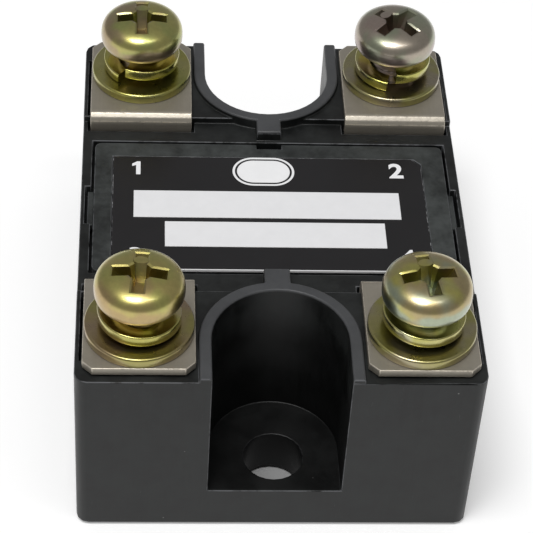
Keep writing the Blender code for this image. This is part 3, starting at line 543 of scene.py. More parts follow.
def coated_body(name, colour, gloss, grain_size=0.00014):
    """Coating or moulding of a small electronic part, with uneven tone."""
    material, tree, shader = start_material(name)
    grain = effect(tree, "grain", grain_size=grain_size, mottle_size=0.0019)
    base = mix(tree, grain["Mottle"], shade(colour, 0.80), shade(colour, 1.18))
    base = marked(tree, base, [min(1.0, c * 1.5 + 0.04) for c in colour], 0.4,
                  "rub", patch_size=0.0010, cover=0.5)
    give(tree, shader, base_color=base, roughness=between(tree, grain["Mottle"], gloss, gloss + 0.14))
    raise_surface(tree, shader, grain["Height"], 0.000005)
    return material


def circuit_board(colour):
    """Green board with the weave of its glass showing and paler tracks under the coating."""
    material, tree, shader = start_material("circuit_board_green")
    point = object_point(tree)
    weave = [add_node(tree, "ShaderNodeTexWave", {"Vector": point, "Scale": 700.0, "Distortion": 0.6},
                      bands_direction=axis).outputs[1] for axis in ("X", "Y")]
    cloth = times(tree, weave[0], weave[1])
    cells = add_node(tree, "ShaderNodeTexVoronoi", {"Vector": point, "Scale": 210.0},
                     feature="DISTANCE_TO_EDGE").outputs["Distance"]
    track = ramp(tree, cells, 0.10, 0.06)
    base = mix(tree, cloth, shade(colour, 0.85), shade(colour, 1.15))
    base = mix(tree, times(tree, track, 0.6), base, shade(colour, 1.9))
    give(tree, shader, base_color=base, roughness=between(tree, cloth, 0.30, 0.42))
    raise_surface(tree, shader, calc(tree, "ADD", cloth, track), 0.000008)
    return material


# Shapes

def cad_copy(node):
    """A merged copy of a CAD node's triangles."""
    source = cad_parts[node].data
    bm = bmesh.new()
    verts = [bm.verts.new(vert.co) for vert in source.vertices]
    for polygon in source.polygons:
        bm.faces.new([verts[index] for index in polygon.vertices])
    bmesh.ops.remove_doubles(bm, verts=bm.verts, dist=MERGE)
    return bm


def join_flat(bm):
    """Join triangles that lie in one plane into whole faces."""
    bmesh.ops.dissolve_degenerate(bm, edges=bm.edges, dist=MERGE)
    bmesh.ops.dissolve_limit(bm, angle_limit=math.radians(FLAT_DEG), verts=bm.verts, edges=bm.edges,
                             use_dissolve_boundaries=False)


def is_sharp(edge):
    """Whether two faces meet at an edge at more than the sharp angle."""
    return len(edge.link_faces) == 2 and edge.calc_face_angle() > math.radians(SHARP_DEG)


def round_edges(bm, width, segments, wanted):
    """Round the wanted edges."""
    chosen = [edge for edge in bm.edges if wanted(edge)]
    return bmesh.ops.bevel(bm, geom=chosen, offset=width, offset_type="OFFSET", segments=segments,
                           profile=0.5, affect="EDGES", clamp_overlap=False, loop_slide=False, material=-1)


def soften(bm, width, wanted=is_sharp):
    """Round the sharp edges, and mark the middle of each rounding for wear, and on the moulding also for
    painted highlight.
    """
    layer = bm.verts.layers.float.new("edge")
    made = round_edges(bm, width, 2, wanted)
    rounded = set(made["faces"])
    for vert in made["verts"]:
        bend = sum(edge.calc_face_angle_signed(0.0) for edge in vert.link_edges)
        vert[layer] = 1.0 if bend > 0.0 and all(face in rounded for face in vert.link_faces) else 0.0


def bake(made):
    """Turn an object's evaluated shape into its own plain mesh."""
    graph = bpy.context.evaluated_depsgraph_get()
    mesh = bpy.data.meshes.new_from_object(made.evaluated_get(graph), preserve_all_data_layers=True,
                                           depsgraph=graph)
    old = made.data
    made.modifiers.clear()
    made.data = mesh
    bpy.data.meshes.remove(old)


def new_object(name, mesh):
    """A mesh object in the scene, at the origin."""
    made = bpy.data.objects.new(name, mesh)
    bpy.context.scene.collection.objects.link(made)
    return made


def settle(name, mesh, body, nodes=(), smooth_deg=SMOOTH_DEG):
    """Shade a finished mesh, put it in the scene and let it ride on its body in place of its CAD nodes."""
    mesh.shade_smooth()
    mesh.set_sharp_from_angle(angle=math.radians(smooth_deg))
    made = new_object(name, mesh)
    weigh = made.modifiers.new("weighted_normals", "WEIGHTED_NORMAL")
    weigh.keep_sharp = True
    bake(made)
    made.data.name = name
    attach(made, body)
    if nodes:
        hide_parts(*nodes)
    return made


def piece(name, bm, materials, body, nodes=(), smooth_deg=SMOOTH_DEG):
    """A finished piece from a shape in edit form."""
    mesh = bpy.data.meshes.new(name)
    bm.to_mesh(mesh)
    bm.free()
    for material in materials:
        mesh.materials.append(material)
    return settle(name, mesh, body, nodes, smooth_deg)


def softened_node(name, node, material, width):
    """A CAD node's own shape with its edges rounded."""
    bm = cad_copy(node)
    join_flat(bm)
    soften(bm, width)
    return piece(name, bm, [material], "relay", [node])


def plan_prism(outline, low, high):
    """A straight-sided solid over a plan outline."""
    bm = bmesh.new()
    face = bm.faces.new([bm.verts.new((x, y, low)) for x, y in outline])
    raised = bmesh.ops.extrude_face_region(bm, geom=[face])["geom"]
    verts = [item for item in raised if isinstance(item, bmesh.types.BMVert)]
    bmesh.ops.translate(bm, verts=verts, vec=(0.0, 0.0, high - low))
    bmesh.ops.recalc_face_normals(bm, faces=bm.faces)
    return bm


# Shapes that repeat: turned pieces, cross recesses and spring washers

def turned_tree():
    """Turns a profile about Z, with an optional helical thread and hexagon flats."""
    tree, given, out = new_group(
        "Turned piece", "GeometryNodeTree",
        [("Profile", "Object", None), ("Profile Points", "Int", 2), ("Steps Around", "Int", 48),
         ("Thread Radius", "Float", 0.0), ("Thread Pitch", "Float", 0.001), ("Thread Depth", "Float", 0.0),
         ("Across Flats", "Float", 1.0), ("Turn", "Float", 0.0), ("Place", "Vector", (0.0, 0.0, 0.0)),
         ("Material", "Material", None)],
        [("Geometry", "Geometry")])
    steps = given["Steps Around"]
    points = given["Profile Points"]
    along_size = calc(tree, "SUBTRACT", points, 1.0)
    grid = add_node(tree, "GeometryNodeMeshGrid", {
        "Size X": along_size, "Size Y": steps, "Vertices X": points,
        "Vertices Y": calc(tree, "ADD", steps, 1.0)})
    place = split(tree, add_node(tree, "GeometryNodeInputPosition").outputs[0])
    row = calc(tree, "ROUND", calc(tree, "ADD", place["X"], calc(tree, "DIVIDE", along_size, 2.0)))
    share = calc(tree, "DIVIDE", calc(tree, "ADD", place["Y"], calc(tree, "DIVIDE", steps, 2.0)), steps)
    profile = add_node(tree, "GeometryNodeObjectInfo", {"Object": given["Profile"]}).outputs["Geometry"]
    sample = add_node(tree, "GeometryNodeSampleIndex", data_type="FLOAT_VECTOR", domain="POINT")
    fill(tree, sample.inputs["Geometry"], profile)
    fill(tree, sample.inputs["Value"], add_node(tree, "GeometryNodeInputPosition").outputs[0])
    fill(tree, sample.inputs["Index"], row)
    spot = split(tree, sample.outputs[0])
    radius, height = spot["X"], spot["Z"]
    angle = times(tree, share, 2.0 * math.pi)
    # The thread is a triangle wave of height less turn, only where the profile has the thread's radius
    turns = calc(tree, "DIVIDE", height, given["Thread Pitch"])
    phase = calc(tree, "FRACT", calc(tree, "SUBTRACT", turns, share))
    wave = calc(tree, "ABSOLUTE", calc(tree, "SUBTRACT", times(tree, phase, 2.0), 1.0))
    on_thread = calc(tree, "COMPARE", radius, given["Thread Radius"], 0.000004)
    cut = times(tree, times(tree, wave, given["Thread Depth"]), on_thread)
    radius = calc(tree, "SUBTRACT", radius, cut)
    half_side = math.pi / 6
    swung = calc(tree, "MODULO", calc(tree, "ADD", angle, half_side), 2.0 * half_side)
    side = calc(tree, "SUBTRACT", swung, half_side)
    flat = calc(tree, "DIVIDE", calc(tree, "DIVIDE", given["Across Flats"], 2.0), calc(tree, "COSINE", side))
    radius = calc(tree, "MINIMUM", radius, flat)
    spot = add_node(tree, "ShaderNodeCombineXYZ", {
        "X": times(tree, radius, calc(tree, "COSINE", angle)),
        "Y": times(tree, radius, calc(tree, "SINE", angle)), "Z": height}).outputs[0]
    shaped = add_node(tree, "GeometryNodeSetPosition", {"Geometry": grid.outputs["Mesh"], "Position": spot})
    closed = add_node(tree, "GeometryNodeMergeByDistance", {"Geometry": shaped.outputs[0], "Distance": MERGE})
    finish_tree(tree, given, out, closed.outputs[0])
    return tree


def finish_tree(tree, given, out, geometry):
    """Turn the shape, put it in place, and end in real geometry with its material."""
    spin = add_node(tree, "ShaderNodeCombineXYZ", {"Z": given["Turn"]}).outputs[0]
    put = add_node(tree, "GeometryNodeTransform",
                   {"Geometry": geometry, "Rotation": spin, "Translation": given["Place"]})
    real = add_node(tree, "GeometryNodeRealizeInstances", {"Geometry": put.outputs[0]})
    coated = add_node(tree, "GeometryNodeSetMaterial",
                      {"Geometry": real.outputs[0], "Material": given["Material"]})
    fill(tree, out.inputs["Geometry"], coated.outputs[0])


def recess_tree():
    """Cuts a driver recess into a turned head."""
    tree, given, out = new_group(
        "Driver recess", "GeometryNodeTree",
        [("Geometry", "Geometry", None), ("Cutter", "Object", None), ("Turn", "Float", 0.0),
         ("Place", "Vector", (0.0, 0.0, 0.0)), ("Material", "Material", None)],
        [("Geometry", "Geometry")])
    cutter = add_node(tree, "GeometryNodeObjectInfo", {"Object": given["Cutter"]}).outputs["Geometry"]
    # The cutter's faces are marked as the recess, which the zinc finish darkens as painted shade.
    marked = add_node(tree, "GeometryNodeStoreNamedAttribute", data_type="FLOAT", domain="FACE")
    fill(tree, marked.inputs["Geometry"], cutter)
    fill(tree, marked.inputs["Name"], "recess")
    fill(tree, marked.inputs["Value"], 1.0)
    cut = add_node(tree, "GeometryNodeMeshBoolean",
                   {"Mesh 1": given["Geometry"], "Mesh 2": marked.outputs["Geometry"]},
                   operation="DIFFERENCE", solver="EXACT")
    finish_tree(tree, given, out, cut.outputs["Mesh"])
    return tree


def spring_tree():
    """A split spring washer: a rounded section swept along one turn of a shallow spiral."""
    tree, given, out = new_group(
        "Split spring washer", "GeometryNodeTree",
        [("Radius", "Float", 0.0037), ("Section Width", "Float", 0.0018), ("Section Height", "Float", 0.0013),
         ("Section Round", "Float", 0.00018), ("Rise", "Float", 0.0013), ("Open Share", "Float", 0.03),
         ("Steps Around", "Int", 72), ("Turn", "Float", 0.0), ("Place", "Vector", (0.0, 0.0, 0.0)),
         ("Material", "Material", None)],
        [("Geometry", "Geometry")])
    spiral = add_node(tree, "GeometryNodeCurveSpiral", {
        "Resolution": given["Steps Around"], "Rotations": calc(tree, "SUBTRACT", 1.0, given["Open Share"]),
        "Start Radius": given["Radius"], "End Radius": given["Radius"], "Height": given["Rise"],
        "Reverse": False})
    upright = add_node(tree, "GeometryNodeSetCurveNormal", {"Curve": spiral.outputs[0]}, mode="Z_UP")
    section = add_node(tree, "GeometryNodeCurvePrimitiveQuadrilateral", {
        "Width": given["Section Width"], "Height": given["Section Height"]})
    rounded = add_node(tree, "GeometryNodeFilletCurve", mode="POLY")
    for key, value in (("Curve", section.outputs[0]), ("Count", 4), ("Radius", given["Section Round"]),
                       ("Limit Radius", True)):
        fill(tree, rounded.inputs[key], value)
    swept = add_node(tree, "GeometryNodeCurveToMesh", {
        "Curve": upright.outputs[0], "Profile Curve": rounded.outputs[0], "Fill Caps": True})
    finish_tree(tree, given, out, swept.outputs[0])
    return tree


def set_input(modifier, name, value):
    """Set a Geometry Nodes input by its socket's identifier."""
    for item in modifier.node_group.interface.items_tree:
        if item.item_type == "SOCKET" and item.in_out == "INPUT" and item.name == name:
            modifier[item.identifier] = value
            return
    raise KeyError("%s has no input named %s" % (modifier.node_group.name, name))


def grown(name, stages):
    """The plain mesh that a chain of node trees makes, its faces turned outwards."""
    seed = new_object(name, bpy.data.meshes.new(name))
    for tree, inputs in stages:
        modifier = seed.modifiers.new(tree.name, "NODES")
        modifier.node_group = tree
        for key, value in inputs.items():
            set_input(modifier, key, value)
    bake(seed)
    mesh = seed.data
    bpy.data.objects.remove(seed)
    bm = bmesh.new()
    bm.from_mesh(mesh)
    bmesh.ops.remove_doubles(bm, verts=bm.verts, dist=MERGE)
    bmesh.ops.dissolve_degenerate(bm, edges=bm.edges, dist=MERGE)
    bmesh.ops.recalc_face_normals(bm, faces=bm.faces)
    bm.to_mesh(mesh)
    bm.free()
    if not mesh.polygons:
        raise RuntimeError("%s came out empty" % name)
    return mesh


def profile_object(name, points):
    """A line of radius and height points for a turned piece."""
    mesh = bpy.data.meshes.new(name)
    mesh.from_pydata([(radius, 0.0, height) for radius, height in points],
                     [(index, index + 1) for index in range(len(points) - 1)], [])
    return new_object(name, mesh)


def arc_points(centre, radius, start_deg, end_deg, steps):
    """Points along an arc, both ends included."""
    points = []
    for step in range(steps + 1):
        angle = math.radians(start_deg + (end_deg - start_deg) * step / steps)
        points.append((centre[0] + radius * math.cos(angle), centre[1] + radius * math.sin(angle)))
    return points


def discard(*helpers):
    """Remove the helper objects that only shaped others."""
    for helper in helpers:
        mesh = helper.data
        bpy.data.objects.remove(helper)
        bpy.data.meshes.remove(mesh)


SCREW_LENGTH = 0.0120
HEAD_HEIGHT = 0.00369
HEAD_RADIUS = 0.00495
HEAD_WIDEST = 0.0010
HEAD_FULLNESS = 2.9
SHANK_RADIUS = 0.0025
BORE_RADIUS = 0.0028
SPRING_RADIUS = 0.0046


def head_top(radius):
    """Height of the pan head's top over its underside, at a radius."""
    share = max(0.0, 1.0 - (radius / HEAD_RADIUS) ** HEAD_FULLNESS)
    return HEAD_WIDEST + (HEAD_HEIGHT - HEAD_WIDEST) * share ** (1.0 / HEAD_FULLNESS)


def screw_profile(pitch):
    """Pan head, neck, threaded shank and tip, from the top down, about the head's underside."""
    top_steps, under_steps, rows = 24, 8, 12
    tuck = 0.00045
    points = []
    for step in range(top_steps + 1):
        radius = HEAD_RADIUS * math.sin(math.radians(90.0 * step / top_steps)) ** (2.0 / HEAD_FULLNESS)
        points.append((radius, head_top(radius)))
    for step in range(1, under_steps + 1):
        angle = math.radians(90.0 * step / under_steps)
        points.append((HEAD_RADIUS - tuck * (1.0 - math.cos(angle)), HEAD_WIDEST * (1.0 - math.sin(angle))))
    for wider, height in ((0.0002, 0.0), (-0.0001, -0.0002), (-0.0003, -0.0005), (-0.0003, -0.0009)):
        points.append((SHANK_RADIUS + wider, height))
    low = 0.0006 - SCREW_LENGTH
    height = -0.0011
    while height > low:
        points.append((SHANK_RADIUS, height))
        height -= pitch / rows
    points += [(SHANK_RADIUS - 0.0005, low - 0.0002), (SHANK_RADIUS - 0.0009, -SCREW_LENGTH),
               (0.0, -SCREW_LENGTH)]
    return points


def recess_cutter(span, arm, depth):
    """A tapered cross with a chamfered brim and a deeper middle, about the head's underside."""
    brim, flare = 0.00013, 0.00036
    # Each level: whether it follows the head's top, its height, reach, half width and inner corner
    levels = (
        (True, 0.00025, span / 2 + flare, arm / 2 + flare, 0.00056),
        (True, -brim, span / 2 - brim, arm / 2 - brim, 0.00050),
        (False, HEAD_HEIGHT - depth * 0.22, span / 2 - 0.00026, arm / 2 - 0.00018, 0.00042),
        (False, HEAD_HEIGHT - depth, arm * 0.75, arm / 2 - 0.00026, 0.00020),
    )
    bm = bmesh.new()
    rings = []
    for on_head, height, reach, half, web in levels:
        corners = [(reach, -half), (reach, half), (half + web, half), (half, half + web)]
        ring = []
        for _ in range(4):
            for x, y in corners:
                ring.append(bm.verts.new((x, y, height + (head_top(math.hypot(x, y)) if on_head else 0.0))))
            corners = [(-y, x) for x, y in corners]
        rings.append(ring)
    for upper, lower in zip(rings, rings[1:]):
        for index in range(len(upper)):
            after = (index + 1) % len(upper)
            bm.faces.new((upper[index], lower[index], lower[after], upper[after]))
    bm.faces.new(rings[0])
    bm.faces.new(rings[-1])
    bmesh.ops.triangulate(bm, faces=bm.faces)
    bmesh.ops.recalc_face_normals(bm, faces=bm.faces)
    mesh = bpy.data.meshes.new("recess_cutter")
    bm.to_mesh(mesh)
    bm.free()
    return new_object("recess_cutter", mesh)


def middle_of(node):
    """Plan middle and lowest height of a CAD node."""
    low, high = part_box(node)
    return (low.x + high.x) / 2, (low.y + high.y) / 2, low.z


# Turn of each screw's cross and place of each spring washer's split, in degrees
CROSS_TURN = {1: 0.0, 2: 45.0, 3: -5.0, 4: 10.0}
SPLIT_PLACE = {1: -122.0, 2: -96.0, 3: 70.0, 4: 110.0}
SPLIT_DEG = 12.0

# Tints of each screw and of its washers
HEAD_TINTS = {
    1: ((0.52, 0.48, 0.16), (0.43, 0.45, 0.15), (0.44, 0.34, 0.19)),
    2: ((0.47, 0.41, 0.33), (0.40, 0.42, 0.30), (0.45, 0.36, 0.31)),
    3: ((0.58, 0.48, 0.17), (0.52, 0.49, 0.15), (0.52, 0.38, 0.17)),
    4: ((0.56, 0.52, 0.14), (0.50, 0.40, 0.20), (0.42, 0.47, 0.34)),
}
WASHER_TINTS = {
    1: ((0.42, 0.39, 0.10), (0.36, 0.37, 0.10), (0.44, 0.41, 0.15)),
    2: ((0.39, 0.34, 0.22), (0.39, 0.37, 0.13), (0.37, 0.32, 0.25)),
    3: ((0.40, 0.31, 0.15), (0.38, 0.34, 0.11), (0.38, 0.28, 0.18)),
    4: ((0.41, 0.37, 0.15), (0.40, 0.38, 0.10), (0.41, 0.36, 0.22)),
}
SPRING_TINTS = {
    1: ((0.58, 0.54, 0.10), (0.50, 0.47, 0.12), (0.60, 0.54, 0.22)),
    2: ((0.58, 0.54, 0.12), (0.52, 0.50, 0.12), (0.50, 0.44, 0.26)),
    3: ((0.54, 0.49, 0.16), (0.50, 0.46, 0.12), (0.52, 0.44, 0.24)),
    4: ((0.56, 0.52, 0.20), (0.52, 0.49, 0.14), (0.56, 0.54, 0.34)),
}


# Operators

class RELAY_OT_case(bpy.types.Operator):
    """Build the black moulded case with rounded edges"""
    bl_idname = "relay.case"
    bl_label = "Case"

    def execute(self, context):
        chosen = settings(context, "case")
        low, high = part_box("case")
        bm = cad_copy("case")
        # Small steps that only keep the CAD's joins clean are levelled, so that edges can be rounded
        step = 0.00006
        pocket, wall = 0.01485, 0.01495
        cad_corner, corner = 0.0009, 0.0014
        cavity_side, cavity_top = 0.0222, 0.0210
        notch_half, notch_top = 0.0076, 0.0220
        weld = 0.00003
        for vert in bm.verts:
            side = math.copysign(1.0, vert.co.y)
            if abs(abs(vert.co.y) - high.y) < step:
                vert.co.y = side * high.y
            if abs(abs(vert.co.y) - pocket) < MERGE * 10:
                vert.co.y = side * wall
            if abs(vert.co.z - high.z) < step:
                vert.co.z = high.z
            if abs(vert.co.z - low.z) < step:
                vert.co.z = low.z
            # The upright corners are drawn out to their full round
            swing = Vector((abs(vert.co.x) - high.x + cad_corner, abs(vert.co.y) - high.y + cad_corner))
            if min(swing) > -step and abs(swing.length - cad_corner) < step:
                swing *= corner / cad_corner
                vert.co.x = math.copysign(high.x - corner + swing.x, vert.co.x)
                vert.co.y = math.copysign(high.y - corner + swing.y, vert.co.y)
        bmesh.ops.remove_doubles(bm, verts=bm.verts, dist=weld)
        join_flat(bm)

        def on_rim_top(edge):
            level = all(vert.co.z > high.z - step for vert in edge.verts)
            at_end = all(abs(vert.co.y) > high.y - step for vert in edge.verts)
            return is_sharp(edge) and level and not at_end

        def outside(edge):
            middle = (edge.verts[0].co + edge.verts[1].co) / 2
            within = abs(middle.x) < cavity_side and abs(middle.y) < wall - step
            inside = within and low.z + step < middle.z < cavity_top
            upright = abs(edge.verts[0].co.z - edge.verts[1].co.z) > corner
            at_corner = abs(middle.x) > high.x - corner and abs(middle.y) > high.y - corner
            return is_sharp(edge) and not inside and not (upright and at_corner)

        round_edges(bm, chosen.rim_round, 6, on_rim_top)
        soften(bm, chosen.edge_round, outside)
        for vert in bm.verts:
            vert.co = [min(max(value, least), most) for value, least, most in zip(vert.co, low, high)]
        # The notch mask paints shade into the notches; the rub and highlight colour lightens rim tops and
        # edges, partly as painted highlight.
        plastic = moulded_plastic("case_plastic_black", chosen.colour, chosen.rubbed_colour,
                                  rim=high.z - 0.0001,
                                  notch=(notch_half, wall, high.y - step, notch_top))
        piece("moulded_case", bm, [plastic], "relay", ["case"])
        return {"FINISHED"}


class RELAY_OT_base_plate(bpy.types.Operator):
    """Build the plated mounting plate under the case"""
    bl_idname = "relay.base_plate"
    bl_label = "Base plate"

    def execute(self, context):
        finish = plated_sheet("base_plate_nickel", (0.58, 0.56, 0.52), turn=math.pi / 2, gloss=(0.20, 0.34))
        softened_node("mounting_plate", "base_plate", finish, 0.0002)
        return {"FINISHED"}


class RELAY_OT_lid(bpy.types.Operator):
    """Build the lid let into the case"""
    bl_idname = "relay.lid"
    bl_label = "Lid"

    def execute(self, context):
        chosen = settings(context, "case")
        label_low, label_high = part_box("label_panel")
        bm = cad_copy("lid")
        # The label's seat is drawn in until only a hairline stays round the label
        seat, hairline = 0.00031, 0.00004
        for vert in bm.verts:
            x, y = vert.co.x, vert.co.y
            if label_low.x - seat < x < label_low.x and y > label_low.y - seat:
                vert.co.x = label_low.x - hairline
            if label_high.x < x < label_high.x + seat:
                vert.co.x = label_high.x + hairline
            if label_high.y < y < label_high.y + seat:
                vert.co.y = label_high.y + hairline
        bmesh.ops.remove_doubles(bm, verts=bm.verts, dist=MERGE)
        join_flat(bm)
        soften(bm, chosen.lid_edge_round)
        plastic = moulded_plastic("lid_plastic_black", shade(chosen.colour, 3.4), chosen.rubbed_colour,
                                  gloss=(0.40, 0.54))
        piece("lid_moulding", bm, [plastic], "relay", ["lid"])
        return {"FINISHED"}


# Outline of a bold figure one, one unit high, about its middle
FIGURE_ONE = ((0.02, -0.45), (0.23, -0.45), (0.23, 0.47), (0.07, 0.47), (-0.17, 0.30), (-0.17, 0.13),
              (0.02, 0.21))


def oval_outline(length, width, steps):
    """A slot-like oval with round ends, as plan vectors."""
    radius = width / 2
    reach = length / 2 - radius
    points = arc_points((reach, 0.0), radius, -90.0, 90.0, steps)
    points += arc_points((-reach, 0.0), radius, 90.0, 270.0, steps)
    return [Vector(point) for point in points]


def oval_ring(middle, length, width, line, low, high):
    """A flat ring of even line width along an oval."""
    bm = bmesh.new()
    rings = []
    for inset, level in ((0.0, low), (0.0, high), (line, high), (line, low)):
        outline = oval_outline(length - 2 * inset, width - 2 * inset, 24)
        rings.append([bm.verts.new((*(middle + point), level)) for point in outline])
    for index, ring in enumerate(rings):
        other = rings[(index + 1) % len(rings)]
        for spot in range(len(ring)):
            after = (spot + 1) % len(ring)
            bm.faces.new((ring[spot], ring[after], other[after], other[spot]))
    bmesh.ops.recalc_face_normals(bm, faces=bm.faces)
    return bm


def numeral(text, height, middle, low, thickness):
    """A plain figure as a thin solid, centred on a plan point."""
    curve = bpy.data.curves.new("numeral", "FONT")
    curve.body = text
    curve.size = height * 1.4
    curve.extrude = thickness / 2
    curve.offset = height * 0.042
    curve.align_x = "CENTER"
    curve.resolution_u = 4
    shown = bpy.data.objects.new("numeral", curve)
    bpy.context.scene.collection.objects.link(shown)
    graph = bpy.context.evaluated_depsgraph_get()
    mesh = bpy.data.meshes.new_from_object(shown.evaluated_get(graph), depsgraph=graph)
    bpy.data.objects.remove(shown)
    bpy.data.curves.remove(curve)
    ys = [vert.co.y for vert in mesh.vertices]
    xs = [vert.co.x for vert in mesh.vertices]
    shift = Vector((middle[0] - (min(xs) + max(xs)) / 2, middle[1] - (min(ys) + max(ys)) / 2,
                    low + thickness / 2))
    mesh.transform(Matrix.Translation(shift))
    bm = bmesh.new()
    bm.from_mesh(mesh)
    bpy.data.meshes.remove(mesh)
    bmesh.ops.remove_doubles(bm, verts=bm.verts, dist=MERGE)
    bmesh.ops.recalc_face_normals(bm, faces=bm.faces)
    return bm


class RELAY_OT_label(bpy.types.Operator):
    """Build the label film, its two blank strips, the blank oval and the terminal numbers"""
    bl_idname = "relay.label"
    bl_label = "Label"

    def execute(self, context):
        chosen = settings(context, "label")
        low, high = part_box("label_panel")
        corner, edge, strip_edge = 0.0011, 0.00009, 0.00003
        side_tilt, core_depth = 0.3, 0.00034
        outline = [(low.x, low.y), (high.x, low.y), (high.x, high.y - corner), (high.x - corner, high.y),
                   (low.x, high.y)]
        bm = plan_prism(outline, low.z, high.z)
        soften(bm, edge)
        for face in bm.faces:
            face.material_index = 1 if face.normal.z < side_tilt or face.normal.y < -side_tilt else 0
        finishes = [label_film(chosen.film_colour), label_core(high.z - core_depth)]
        piece("label_film", bm, finishes, "relay", ["label_panel"])

        paper_white = paper("strip_paper", (0.86, 0.86, 0.875))
        for level in ("upper", "lower"):
            node = level + "_marking_strip"
            strip_low, strip_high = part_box(node)
            outline = [(strip_low.x, strip_low.y), (strip_high.x, strip_low.y), (strip_high.x, strip_high.y),
                       (strip_low.x, strip_high.y)]
            bm = plan_prism(outline, high.z - 0.00002, strip_high.z - 0.00003)
            soften(bm, strip_edge)
            piece(level + "_strip_paper", bm, [paper_white], "relay", [node])

        ink = paper("printed_ink", chosen.ink_colour)
        thickness = 0.00003
        print_low = high.z - 0.00001
        middle = Vector((-0.00085, 0.0060))
        line, gap = 0.00028, 0.00026
        bm = oval_ring(middle, chosen.oval_length, chosen.oval_width, line, print_low, print_low + thickness)
        piece("oval_outline", bm, [ink], "relay")
        inset = 2.0 * (line + gap)
        outline = [middle + point for point in
                   oval_outline(chosen.oval_length - inset, chosen.oval_width - inset, 24)]
        bm = plan_prism(outline, print_low, print_low + thickness)
        piece("blank_oval", bm, [ink], "relay")
        places = {1: (-0.0161, 0.0064), 2: (0.0151, 0.0064), 3: (-0.0160, -0.0086), 4: (0.0153, -0.0086)}
        for number, place in places.items():
            if number == 1:
                outline = [(place[0] + x * chosen.numeral_height, place[1] + y * chosen.numeral_height)
                           for x, y in FIGURE_ONE]
                figure = plan_prism(outline, print_low, print_low + thickness)
            else:
                figure = numeral(str(number), chosen.numeral_height, place, print_low, thickness)
            piece("terminal_number_%d" % number, figure, [ink], "relay")
        return {"FINISHED"}


class RELAY_OT_terminals(bpy.types.Operator):
    """Build the four bent terminals"""
    bl_idname = "relay.terminals"
    bl_label = "Terminals"

    def execute(self, context):
        chosen = settings(context, "terminals")
        finish = plated_sheet("terminal_nickel", chosen.colour)
        for number in TERMINALS:
            softened_node("bent_terminal_%d" % number, "terminal_%d" % number, finish,
                          chosen.edge_round)
        return {"FINISHED"}


class RELAY_OT_screws(bpy.types.Operator):
    """Build the four pan-head terminal screws with their threads and cross recesses"""
    bl_idname = "relay.screws"
    bl_label = "Screws"

    def execute(self, context):
        chosen = settings(context, "fasteners")
        points = screw_profile(chosen.thread_pitch)
        profile = profile_object("screw_profile", points)
        cutter = recess_cutter(chosen.recess_span, chosen.recess_arm, chosen.recess_depth)
        turned, recess = turned_tree(), recess_tree()
        for number in TERMINALS:
            x, y, low = middle_of("terminal_screw_%d" % number)
            zinc = yellow_zinc("screw_zinc_%d" % number, *HEAD_TINTS[number], rim=low + SCREW_LENGTH + 0.0014)
            blank = {"Profile": profile, "Profile Points": len(points), "Steps Around": chosen.steps_around,
                     "Thread Radius": SHANK_RADIUS, "Thread Pitch": chosen.thread_pitch,
                     "Thread Depth": chosen.thread_depth, "Material": zinc}
            cut = {"Cutter": cutter, "Turn": math.radians(CROSS_TURN[number]),
                   "Place": (x, y, low + SCREW_LENGTH), "Material": zinc}
            name = "pan_head_screw_%d" % number
            mesh = grown(name, [(turned, blank), (recess, cut)])
            settle(name, mesh, "screw_%d" % number, ["terminal_screw_%d" % number],
                   SCREW_SMOOTH_DEG)
        discard(profile, cutter)
        return {"FINISHED"}


class RELAY_OT_washers(bpy.types.Operator):
    """Build the flat washers and the split spring washers"""
    bl_idname = "relay.washers"
    bl_label = "Washers"

    def execute(self, context):
        chosen = settings(context, "fasteners")
        outer, thickness = 0.00605, 0.00118
        roll, burr = 0.00032, 0.00012
        clearance, drop, section = 0.00002, 0.00014, 0.0013
        points = [(BORE_RADIUS + burr, thickness)]
        points += arc_points((outer - roll, thickness - roll), roll, 90.0, 0.0, 6)
        points += arc_points((outer - burr, burr), burr, 0.0, -90.0, 3)
        points += arc_points((BORE_RADIUS + burr, burr), burr, 270.0, 180.0, 3)
        points += arc_points((BORE_RADIUS + burr, thickness - burr), burr, 180.0, 90.0, 3)
        profile = profile_object("washer_profile", points)
        turned, spring = turned_tree(), spring_tree()
        for number in TERMINALS:
            body = "washers_%d" % number
            plate_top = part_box("terminal_%d" % number)[1].z
            x, y, _ = middle_of("flat_washer_%d" % number)
            zinc = yellow_zinc("washer_zinc_%d" % number, *WASHER_TINTS[number], gloss=(0.20, 0.38))
            flat = {"Profile": profile, "Profile Points": len(points), "Steps Around": chosen.steps_around,
                    "Place": (x, y, plate_top + clearance), "Material": zinc}
            name = "flat_washer_ring_%d" % number
            settle(name, grown(name, [(turned, flat)]), body, ["flat_washer_%d" % number],
                   WASHER_SMOOTH_DEG)

            low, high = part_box("spring_washer_%d" % number)
            bright = yellow_zinc("spring_zinc_%d" % number, *SPRING_TINTS[number], gloss=(0.14, 0.28))
            split = math.radians(SPLIT_PLACE[number] - SPLIT_DEG / 2)
            ring = {"Radius": (SPRING_RADIUS + BORE_RADIUS) / 2, "Section Width": SPRING_RADIUS - BORE_RADIUS,
                    "Section Height": section, "Rise": high.z - low.z - section,
                    "Open Share": SPLIT_DEG / 360.0, "Steps Around": chosen.steps_around, "Turn": split,
                    "Place": (x, y, low.z - drop + section / 2), "Material": bright}
            name = "spring_washer_ring_%d" % number
            settle(name, grown(name, [(spring, ring)]), body, ["spring_washer_%d" % number],
                   WASHER_SMOOTH_DEG)
        discard(profile)
        return {"FINISHED"}


